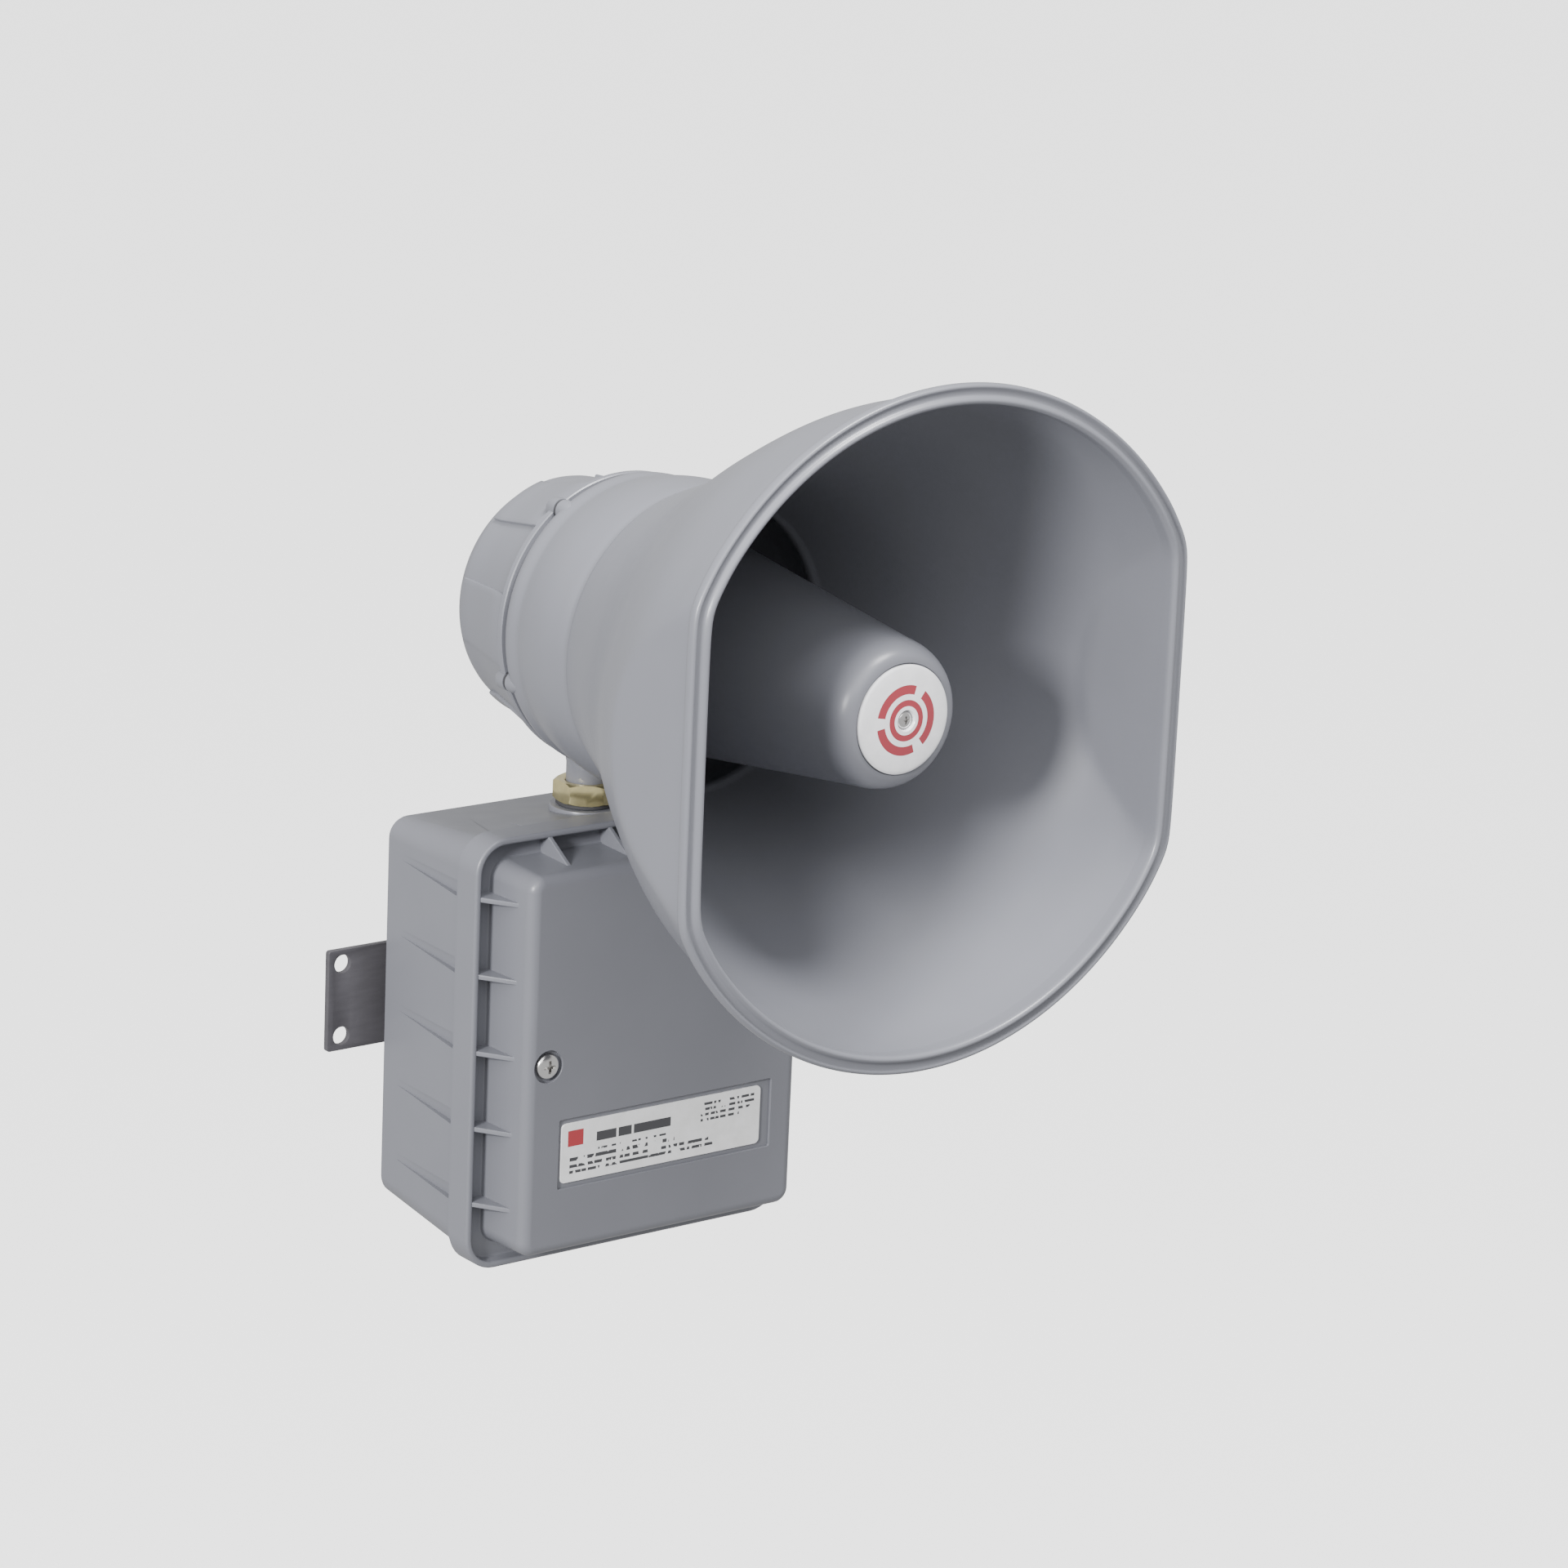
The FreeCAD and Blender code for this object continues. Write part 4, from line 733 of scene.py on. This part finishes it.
# -------------------------------------------------------------- rear housing
def rear_housing():
    """Cup behind the seam, with its grip lands and the neck on its underside."""
    back_y = housing_high.y
    outside = [(SEAM_Y, 54.6 * MM), (SEAM_Y + 0.4 * MM, 55.0 * MM), (SEAM_Y + 2.4 * MM, 55.0 * MM),
               (SEAM_Y + 2.9 * MM, 54.6 * MM), (SEAM_Y + 3.1 * MM, 53.2 * MM), (SEAM_Y + 4.2 * MM, 52.6 * MM)]
    outside += [(SEAM_Y + 13 * MM, 50.7 * MM), (SEAM_Y + 23 * MM, 48.5 * MM)]
    outside += [(SEAM_Y + 33 * MM, 46.4 * MM)]
    outside += arc((back_y - 12.5 * MM, 33.8 * MM), 12.5 * MM, 8, 90, 9)
    inside = [(back_y, 6 * MM), (back_y - 3.2 * MM, 6 * MM), (back_y - 3.2 * MM, 33 * MM)]
    inside += arc((back_y - 12.5 * MM, 33.8 * MM), 9.2 * MM, 80, 8, 5)
    inside += [(SEAM_Y + 1 * MM, 49.7 * MM), (SEAM_Y, 49.9 * MM)]
    housing = turned("housing", outside + inside, (0, HORN_Z), segments=144)
    activate(housing)
    bpy.ops.object.mode_set(mode="EDIT")

    def on_land(face):
        spot = middle(face)
        radial = math.hypot(spot.x, spot.z - HORN_Z)
        outward = (face.normal.x * spot.x + face.normal.z * (spot.z - HORN_Z)) / radial
        turn = (math.degrees(math.atan2(spot.z - HORN_Z, spot.x)) - LAND_START) % LAND_PITCH
        return SEAM_Y + 4 * MM < spot.y < SEAM_Y + 36 * MM and outward > 0.3 and turn < LAND_SPAN

    choose("FACE", on_land)
    bpy.ops.mesh.extrude_region_shrink_fatten(TRANSFORM_OT_shrink_fatten={"value": LAND_RISE})
    bpy.ops.mesh.region_to_loop()
    bpy.ops.mesh.bevel(offset=0.5 * MM, segments=2, affect="EDGES")
    put_down(housing, 30)
    disc = [(back_y, 6.2 * MM), (back_y - 3.2 * MM, 6.2 * MM)]
    plug = turned("plug", disc, (0, HORN_Z), segments=32, closed=False)
    bosses = [plug]
    for x, z in seam_spots():
        top = SEAM_Y + BOSS_RISE
        profile = [(SEAM_Y, 1.7 * MM), (SEAM_Y, BOSS_R), (top - 0.7 * MM, BOSS_R), (top - 0.2 * MM, 3.8 * MM),
                   (top, 3.4 * MM), (top, 1.7 * MM)]
        bosses.append(turned("boss", profile, (x, z), segments=32))
    flare = curve_through([(95 * MM, 8 * MM), (100 * MM, 9.2 * MM), (105 * MM, 11.8 * MM),
                           (109.2 * MM, 15.2 * MM)], 4)
    stem = [(56 * MM, 4.5 * MM), (56 * MM, 7.4 * MM), (56.8 * MM, 8 * MM)] + flare + [(109.2 * MM, 4.5 * MM)]
    bosses.append(turned("stem", stem, (0, NECK_Y), axis="Z", segments=64))
    join(housing, bosses)
    dress(housing, "horn_grey", "grey_moulding", "horn", "rear_housing")


def seam_fittings():
    """Screws that hold the rear housing to the bell."""
    head_y = SEAM_Y + BOSS_RISE
    screws = [cross_screw("seam_screw", (x, head_y, z), 3.1 * MM, 2 * MM, 1.6 * MM, 11 * MM, 1)
              for x, z in seam_spots()]
    screws = join(screws[0], screws[1:])
    screws.name = "seam_screw_set"
    dress(screws, "steel_screws", "steel_screws", "horn", "seam_screws")


# ------------------------------------------------------- cone and medallion
def reflector_cone():
    """Cone in the middle of the horn, with a recess for the medallion."""
    back_y, nose_y = cone_high.y, cone_low.y
    shoulder_y = nose_y + 13 * MM
    back_r, front_r, flat_r = 40.5 * MM, 27.4 * MM, 20.3 * MM
    outside = [(back_y, back_r - 1.9 * MM), (back_y, back_r - 0.3 * MM), (back_y - 0.5 * MM, back_r)]
    outside += [(back_y + (shoulder_y - back_y) * t, back_r + (front_r - back_r) * t)
                for t in (0.25, 0.5, 0.75, 0.97)]
    for k in range(1, 13):
        a = math.radians(7.4 * k)
        outside.append((shoulder_y + (nose_y - shoulder_y) * math.sin(a),
                        flat_r + (front_r - flat_r) * math.cos(a)))
    recess = [(nose_y, 20.1 * MM), (nose_y + 0.8 * MM, 19.9 * MM), (nose_y + 0.8 * MM, 2.2 * MM),
              (nose_y + 3.4 * MM, 2.2 * MM), (nose_y + 3.4 * MM, 20 * MM), (shoulder_y, 24.9 * MM)]
    cone = turned("cone", outside + recess, (0, HORN_Z), segments=128)
    dress(cone, "horn_grey", "grey_moulding", "horn", "reflector_cone")


def medallion():
    """Domed disc on the cone, and the screw through it."""
    low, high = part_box("medallion")
    rise = high.y - low.y
    dome = [(high.y, 2.1 * MM), (high.y, 19.4 * MM), (high.y - 0.3 * MM, 19.6 * MM),
            (high.y - rise * 0.42, 19.6 * MM), (high.y - rise * 0.54, 19.2 * MM),
            (high.y - rise * 0.60, 18.5 * MM)]
    dome += [(low.y + rise * 0.36 * (r / 18.0) ** 2, r * MM) for r in (17.0, 14.5, 12.0, 9.5, 7.0, 5.0, 3.9)]
    dome += [(low.y + 0.6 * MM, 3.5 * MM), (high.y - 1.4 * MM, 3.4 * MM), (high.y - 1.4 * MM, 2.1 * MM)]
    disc = turned("medallion_disc", dome, (0, HORN_Z), segments=96)
    dress(disc, "medallion_white", "medallion_white", "horn", "medallion")
    screw = cross_screw("medallion_pin", (0, high.y - 1.4 * MM, HORN_Z), 3.1 * MM, 1.6 * MM, 1.8 * MM,
                        15 * MM)
    dress(screw, "steel_screws", "steel_screws", "horn", "medallion_screw")


# ------------------------------------------------------------- neck fittings
def locknut():
    """Hexagonal nut that clamps the neck, chamfered at both ends."""
    corner = NUT_ACROSS_FLATS / math.sqrt(3)
    tall = nut_high.z - nut_low.z
    clear_selection()
    spot = (0, NECK_Y, (nut_low.z + nut_high.z) / 2)
    bpy.ops.mesh.primitive_cylinder_add(vertices=6, radius=corner, depth=tall, location=spot)
    nut = take("hex_nut")
    bpy.ops.transform.rotate(value=math.radians(NUT_TURN), orient_axis="Z", center_override=spot)
    put_down(nut)
    face_r, flank_r = corner - 1.5 * MM, corner + 0.8 * MM
    shape = [(nut_low.z, 1 * MM), (nut_low.z, face_r), (nut_low.z + 1.3 * MM, flank_r),
             (nut_high.z - 1.3 * MM, flank_r), (nut_high.z, face_r), (nut_high.z, 1 * MM)]
    carve(nut, turned("chamfer", shape, (0, NECK_Y), axis="Z", closed=False), "INTERSECT")
    bore = [(nut_low.z - 1 * MM, NECK_BORE_R), (nut_high.z - 0.8 * MM, NECK_BORE_R),
            (nut_high.z + 1 * MM, 9.9 * MM)]
    carve(nut, turned("bore", bore, (0, NECK_Y), axis="Z", closed=False))
    apply_modifier(nut, "BEVEL", width=0.25 * MM, segments=2, limit_method="ANGLE",
                   angle_limit=math.radians(28))
    dress(resmooth(nut, 25), "yellow_zinc", "yellow_zinc", "locknut", "locknut")


def neck_seal():
    """Washer between the nut and the pad on top of the tub."""
    z0, z1 = seal_low.z, seal_high.z
    r = (seal_high.x - seal_low.x) / 2
    ring = [(z0, 8.2 * MM), (z0, r - 0.4 * MM), (z0 + 0.4 * MM, r), (z1 - 0.4 * MM, r), (z1, r - 0.4 * MM),
            (z1, 8.2 * MM)]
    seal = turned("seal_washer", ring, (0, NECK_Y), axis="Z")
    dress(seal, "seal_rubber", "seal_rubber", "enclosure", "neck_seal")


# ---------------------------------------------------------------- enclosure
def step_in(half, corner, y, d):
    """A rounded-rectangle ring moved in by d."""
    return (half[0] - d, half[1] - d, corner - d, y)


def side_wedge(side, z):
    """Tool for a long shallow recess that widens and deepens towards the lip."""
    front_y, back_y = -69.7 * MM, -20 * MM
    face_x = side * 69.75 * MM
    deep = 2.3 * MM
    tool = block("wedge", (face_x - deep, front_y, z - 3.2 * MM), (face_x + deep, back_y, z + 3.2 * MM))
    choose("FACE", lambda face: abs(middle(face).y - back_y) < 0.1 * MM)
    bpy.ops.transform.resize(value=(1, 1, 0.3), center_override=(face_x, back_y, z))
    bpy.ops.transform.translate(value=(-side * 0.65 * MM, 0, 1.2 * MM))
    return put_down(tool)


def top_wedge(side, up):
    """Tool for the three-cornered facet in the tub's top or floor."""
    front_y, back_y = -69.7 * MM, -20 * MM
    z = BOX_Z + up * 80.6 * MM
    tool = block("facet", (side * 47 * MM - 9 * MM, front_y, z - 1.7 * MM),
                 (side * 47 * MM + 9 * MM, back_y, z + 1.7 * MM))
    choose("FACE", lambda face: abs(middle(face).y - back_y) < 0.1 * MM)
    bpy.ops.transform.resize(value=(0.06, 1, 1), center_override=(side * 38 * MM, back_y, z))
    bpy.ops.transform.translate(value=(0, 0, -up * 2.9 * MM))
    choose("EDGE", lambda edge: abs(middle(edge).y - front_y) < 0.1 * MM
           and abs(middle(edge).x - side * 38 * MM) < 0.5 * MM)
    bpy.ops.transform.translate(value=(0, 0, up * 1.3 * MM))
    return put_down(tool)


def enclosure_tub():
    """Rear half of the box, with its side recesses, pads, posts and holes."""
    back, front = (66.2 * MM, 75 * MM), (70.05 * MM, 80.5 * MM)
    rings = [step_in(back, 8 * MM, TUB_BACK_Y, 2.2 * MM), step_in(back, 8 * MM, TUB_BACK_Y, 1.6 * MM),
             step_in(back, 8 * MM, TUB_BACK_Y - 0.4 * MM, 0.6 * MM),
             step_in(back, 8 * MM, TUB_BACK_Y - 1.4 * MM, 0.05 * MM),
             (*front, 11 * MM, -69.4 * MM), (front[0] + 0.5 * MM, front[1] + 0.5 * MM, 11.5 * MM, -69.8 * MM),
             (LIP_HALF[0] - 0.5 * MM, LIP_HALF[1] - 0.5 * MM, 12.5 * MM, -70 * MM),
             (*LIP_HALF, 13 * MM, -70.5 * MM), (*LIP_HALF, 13 * MM, -71.6 * MM),
             (LIP_HALF[0] - 0.4 * MM, LIP_HALF[1] - 0.4 * MM, 12.6 * MM, -72 * MM),
             (front[0] - 0.2 * MM, front[1] - 0.2 * MM, 11 * MM, -72 * MM),
             (front[0] - 0.2 * MM, front[1] - 0.2 * MM, 11 * MM, -75 * MM),
             (front[0] - 3.2 * MM, front[1] - 3.2 * MM, 7.8 * MM, -75 * MM),
             (back[0] - 3.2 * MM, back[1] - 3.2 * MM, 4.8 * MM, -17.2 * MM)]
    tub = moulded("tub", rings, smooth=30)
    for k in range(-2, 3):
        for side in (-1, 1):
            carve(tub, side_wedge(side, BOX_Z + RIB_SHIFT + k * RIB_PITCH))
    for side in (-1, 1):
        for up in (-1, 1):
            carve(tub, top_wedge(side, up))
    pad_top = seal_low.z
    pad = [(pad_top - 22 * MM, 13 * MM), (pad_top - 7 * MM, 13 * MM), (pad_top - 7 * MM, PAD_R),
           (pad_top - 0.6 * MM, PAD_R), (pad_top - 0.15 * MM, 13.8 * MM), (pad_top, 13.3 * MM)]
    extras = [turned("pad", pad, (0, NECK_Y), axis="Z", closed=False)]
    boss = [(-81.3 * MM, 16.4 * MM), (-80.9 * MM, 17 * MM), (-77 * MM, 17 * MM),
            (-73.8 * MM, 17 * MM), (-73.8 * MM, 15 * MM)]
    extras.append(turned("conduit_pad", boss, CONDUIT, axis="Z", closed=False))
    for side in (-1, 1):
        post = [(-17 * MM, 5.5 * MM), (-73.6 * MM, 5.5 * MM), (-74 * MM, 5.1 * MM)]
        extras.append(turned("post", post, (side * COVER_SCREW_X, COVER_SCREW_Z), segments=32, closed=False))
    for extra in extras:
        carve(tub, extra, "UNION")
    stem = [(pad_top - 30 * MM, NECK_BORE_R), (pad_top + 3 * MM, NECK_BORE_R)]
    carve(tub, turned("stem_hole", stem, (0, NECK_Y), axis="Z", closed=False))
    entry = [(-90 * MM, 13.6 * MM), (-66 * MM, 13.6 * MM)]
    carve(tub, turned("entry_hole", entry, CONDUIT, axis="Z", closed=False))
    for side in (-1, 1):
        hole = [(-80 * MM, 2.5 * MM), (-54 * MM, 2.5 * MM)]
        spot = (side * COVER_SCREW_X, COVER_SCREW_Z)
        carve(tub, turned("screw_hole", hole, spot, segments=24, closed=False))
    dress(flat_faces(tub, 28), "box_grey", "grey_moulding", "enclosure", "enclosure_tub")


# --------------------------------------------------------------------- cover
def cover_rings():
    """Rings of the cover's shell: inside, skirt, channel, then the raised panel's edge."""
    lip = (cover_high.x, (cover_high.z - cover_low.z) / 2)
    back_y = cover_high.y
    inner = (PANEL_HALF[0] - 3 * MM, PANEL_HALF[1] - 3 * MM)
    rings = [(*inner, 3.5 * MM, PANEL_Y + 3 * MM), (*inner, 3.5 * MM, CHANNEL_Y + 2.5 * MM)]
    rings += [step_in(lip, 13 * MM, CHANNEL_Y + 2.5 * MM, 2.6 * MM), step_in(lip, 13 * MM, back_y, 2.6 * MM)]
    rings += [step_in(lip, 13 * MM, back_y, 0.3 * MM), step_in(lip, 13 * MM, back_y - 0.4 * MM, 0.0)]
    for k in range(5):
        a = math.radians(22.5 * k)
        rings.append(step_in(lip, 13 * MM, SKIRT_Y + 1.1 * MM * (1 - math.sin(a)),
                             1.1 * MM * (1 - math.cos(a))))
    for k in range(5):
        a = math.radians(22.5 * k)
        rings.append(step_in(lip, 13 * MM, SKIRT_Y + 0.9 * MM * (1 - math.cos(a)),
                             (1.7 + 0.9 * math.sin(a)) * MM))
    rings += [step_in(lip, 13 * MM, CHANNEL_Y - 0.9 * MM, 2.75 * MM),
              step_in(lip, 13 * MM, CHANNEL_Y - 0.25 * MM, 3.1 * MM),
              step_in(lip, 13 * MM, CHANNEL_Y, 3.9 * MM)]
    wall = (PANEL_HALF[0] + 0.8 * MM, PANEL_HALF[1] + 0.8 * MM)
    rings += [step_in(wall, 7 * MM, CHANNEL_Y, -1.3 * MM),
              step_in(wall, 7 * MM, CHANNEL_Y - 0.35 * MM, -0.5 * MM),
              step_in(wall, 7 * MM, CHANNEL_Y - 1.3 * MM, 0.0)]
    edge = 4.2 * MM
    for k in range(9):
        a = math.radians(11.25 * k)
        rings.append(step_in(PANEL_HALF, 6 * MM, PANEL_Y + edge * (1 - math.sin(a)),
                             edge * (1 - math.cos(a))))
    return rings


def gusset(at, along_x, side):
    """Thin three-cornered rib from the skirt up to the raised panel's wall."""
    thick = 0.95 * MM
    half = 70.9 * MM if not along_x else 81.4 * MM
    wall = PANEL_HALF[1] if along_x else PANEL_HALF[0]
    inner, outer = wall - 0.6 * MM, half
    low_y, high_y = CHANNEL_Y + 0.6 * MM, SKIRT_Y - 13.7 * MM
    ends = sorted((side * inner, side * outer))
    if along_x:
        rib = block("gusset", (at - thick, high_y, BOX_Z + ends[0]), (at + thick, low_y, BOX_Z + ends[1]))
    else:
        rib = block("gusset", (ends[0], high_y, at - thick), (ends[1], low_y, at + thick))

    def reach(spot):
        return abs(spot.z - BOX_Z) if along_x else abs(spot.x)

    choose("EDGE", lambda e: reach(middle(e)) > outer - 0.1 * MM and middle(e).y < high_y + 0.1 * MM)
    bpy.ops.transform.translate(value=(0, SKIRT_Y + 0.2 * MM - high_y, 0))
    choose("EDGE", lambda e: abs(reach(middle(e)) - (inner + outer) / 2) < 1 * MM
           and middle(e).y < CHANNEL_Y - 3 * MM)
    bpy.ops.mesh.bevel(offset=0.45 * MM, segments=3, affect="EDGES")
    return put_down(rib)


def cover():
    """Front half of the box, with its gussets and screw sleeves."""
    shell = moulded("cover_shell", cover_rings(), segments=9, smooth=30)
    for side in (-1, 1):
        x = side * COVER_SCREW_X
        bore = [(PANEL_Y - 2 * MM, 6.6 * MM), (PANEL_Y + 0.1 * MM, 6.4 * MM), (PANEL_Y + 0.25 * MM, BORE_R),
                (PANEL_Y + BORE_DEPTH, BORE_R), (PANEL_Y + BORE_DEPTH, 2.7 * MM),
                (PANEL_Y + 6 * MM, 2.7 * MM)]
        carve(shell, turned("counterbore", bore, (x, COVER_SCREW_Z), segments=48, closed=False))
    mid_z = (label_low.z + label_high.z) / 2
    half = (48.9 * MM, 13.5 * MM)
    recess = [step_in(half, 0.8 * MM, PANEL_Y - 1 * MM, -0.3 * MM),
              step_in(half, 0.8 * MM, PANEL_Y - 0.02 * MM, -0.3 * MM),
              step_in(half, 0.8 * MM, PANEL_Y + 0.25 * MM, 0.0),
              step_in(half, 0.8 * MM, PANEL_Y + 0.9 * MM, 0.0)]
    carve(shell, moulded("recess", recess, (1.7 * MM, mid_z), segments=3))
    ribs = []
    for side in (-1, 1):
        for k in range(-2, 3):
            ribs.append(gusset(BOX_Z + RIB_SHIFT + k * RIB_PITCH, False, side))
        for k in (-1.5, -0.5, 0.5, 1.5):
            ribs.append(gusset(k * TOP_RIB_PITCH, True, side))
        x = side * COVER_SCREW_X
        sleeve = [(PANEL_Y + 2 * MM, 2.7 * MM), (PANEL_Y + 2 * MM, 6 * MM), (CHANNEL_Y + 3 * MM, 6 * MM),
                  (CHANNEL_Y + 3 * MM, 2.7 * MM)]
        ribs.append(turned("sleeve", sleeve, (x, COVER_SCREW_Z), segments=32))
    join(shell, ribs)
    dress(flat_faces(shell, 30), "box_grey", "grey_moulding", "cover", "cover")


def label():
    """Thin plate in the recess of the raised panel."""
    half = ((label_high.x - label_low.x) / 2, (label_high.z - label_low.z) / 2)
    mid_z = (label_low.z + label_high.z) / 2
    y0, y1 = label_low.y, label_high.y
    rings = [(*half, 2 * MM, y1), (*half, 2 * MM, y0 + 0.12 * MM), step_in(half, 2 * MM, y0, 0.12 * MM)]
    plate = moulded("label", rings, (0, mid_z), segments=6)
    dress(plate, "label_film", "label_film", "cover", "label_plate")


def cover_screws():
    """Captive screws, one a side, in their counterbores."""
    head_y = PANEL_Y + BORE_DEPTH
    screws = [cross_screw("cover_screw", (side * COVER_SCREW_X, head_y, COVER_SCREW_Z), *COVER_SCREW_HEAD,
                          2.4 * MM, 46 * MM) for side in (-1, 1)]
    screws = join(screws[0], screws[1:])
    screws.name = "cover_screw_pair"
    dress(screws, "steel_screws", "steel_screws", "cover", "cover_screws")


# ------------------------------------------------------------- wall bracket
def wall_bracket():
    """Hat-section strip: ears on the wall, web against the box's back."""
    half_h = (bracket_high.z - bracket_low.z) / 2
    end_x, web_x = bracket_high.x, 52.5 * MM - STRIP_SHEET / 2
    ear_y, web_y = -STRIP_SHEET / 2, bracket_low.y + STRIP_SHEET / 2
    clear_selection()
    bpy.ops.mesh.primitive_plane_add(size=2, location=(0, web_y, 0), rotation=(math.pi / 2, 0, 0))
    strip = take("bracket")
    bpy.ops.transform.resize(value=(web_x, 1, half_h), center_override=(0, web_y, 0))
    for side in (-1, 1):
        choose("EDGE", lambda e: abs(middle(e).x - side * web_x) < 0.1 * MM)
        bpy.ops.mesh.extrude_region_move(TRANSFORM_OT_translate={"value": (0, ear_y - web_y, 0)})
        bpy.ops.mesh.extrude_region_move(TRANSFORM_OT_translate={"value": (side * (end_x - web_x), 0, 0)})
    choose("EDGE", lambda e: abs(abs(middle(e).x) - web_x) < 0.1 * MM and abs(middle(e).z) < 0.1 * MM)
    bpy.ops.mesh.bevel(offset=2.6 * MM, segments=5, affect="EDGES")
    put_down(strip)
    apply_modifier(strip, "SOLIDIFY", thickness=STRIP_SHEET, offset=0.0)
    activate(strip)
    bpy.ops.object.mode_set(mode="EDIT")
    choose("EDGE", lambda e: abs(abs(middle(e).x) - end_x) < 0.1 * MM
           and abs(abs(middle(e).z) - half_h) < 0.1 * MM)
    bpy.ops.mesh.bevel(offset=1.2 * MM, segments=4, affect="EDGES")
    put_down(strip)
    for x in (-EAR_HOLE[0], EAR_HOLE[0]):
        for z in (-EAR_HOLE[1], EAR_HOLE[1]):
            hole = [(-5 * MM, EAR_HOLE_R), (2 * MM, EAR_HOLE_R)]
            carve(strip, turned("hole", hole, (x, z), segments=48, closed=False))
    for x in (-WEB_HOLE[0], WEB_HOLE[0]):
        for z in (-WEB_HOLE[1], WEB_HOLE[1]):
            hole = [(-16 * MM, WEB_HOLE_R), (-9 * MM, WEB_HOLE_R)]
            carve(strip, turned("hole", hole, (x, z), segments=32, closed=False))
    apply_modifier(strip, "BEVEL", width=0.25 * MM, segments=2, limit_method="ANGLE",
                   angle_limit=math.radians(40))
    dress(resmooth(strip, 30), "bracket_steel", "bracket_steel", "enclosure", "wall_bracket")


# ------------------------------------------------------- floor, light, camera
def studio():
    """Pale floor, white sky and three soft lamps."""
    clear_selection()
    bpy.ops.mesh.primitive_plane_add(size=FLOOR_SIZE, location=(0, 0, cad_low.z - FLOOR_DROP))
    floor = take("studio_floor")
    bpy.ops.mesh.subdivide(number_cuts=3)
    put_down(floor)
    pale, tree, shader, coords = blank_material("pale_floor")
    tint = blend_colours(tree, noise(tree, coords, 0.6), (0.86, 0.86, 0.86), (0.9, 0.9, 0.9))
    tree.links.new(tint, shader.inputs["Base Color"])
    shader.inputs["Roughness"].default_value = 0.9
    shader.inputs["Emission Color"].default_value = (1.0, 1.0, 1.0, 1.0)
    shader.inputs["Emission Strength"].default_value = 1.6
    pale.cycles.emission_sampling = "NONE"
    floor.visible_diffuse = False
    floor.visible_glossy = False
    floor.data.materials.append(pale)
    world = bpy.data.worlds.new("studio_world")
    bpy.context.scene.world = world
    world.use_nodes = True
    sky = world.node_tree.nodes["Background"]
    sky.inputs["Color"].default_value = (1.0, 1.0, 1.0, 1.0)
    sky.inputs["Strength"].default_value = 0.64
    aim = Vector(LAMP_AIM)
    for name, kind, place, size, power in LAMPS:
        data = bpy.data.lights.new(name, kind)
        if kind == "SUN":
            data.angle = size
        else:
            data.shape = "DISK"
            data.size = size
        data.energy = power
        lamp = bpy.data.objects.new(name, data)
        bpy.context.scene.collection.objects.link(lamp)
        lamp.location = place
        lamp.rotation_euler = (aim - Vector(place)).to_track_quat("-Z", "Y").to_euler()


def camera():
    """Camera to the object's left and a little above it, rolled slightly."""
    azimuth, elevation, roll = (math.radians(a) for a in CAMERA_TURN)
    target = Vector(CAMERA_TARGET)
    back = Vector((math.sin(azimuth) * math.cos(elevation), -math.cos(azimuth) * math.cos(elevation),
                   math.sin(elevation)))
    data = bpy.data.cameras.new("camera")
    data.sensor_width = SENSOR_WIDTH
    data.lens = LENS
    eye = bpy.data.objects.new("camera", data)
    bpy.context.scene.collection.objects.link(eye)
    eye.location = target + back * CAMERA_DISTANCE
    eye.rotation_mode = "QUATERNION"
    level = (-back).to_track_quat("-Z", "Y")
    eye.rotation_quaternion = level @ Quaternion((0, 0, 1), roll)
    bpy.context.scene.camera = eye


camera()
studio()
dress_frame()
horn_bell()
rear_housing()
seam_fittings()
reflector_cone()
medallion()
locknut()
neck_seal()
enclosure_tub()
cover()
label()
cover_screws()
wall_bracket()
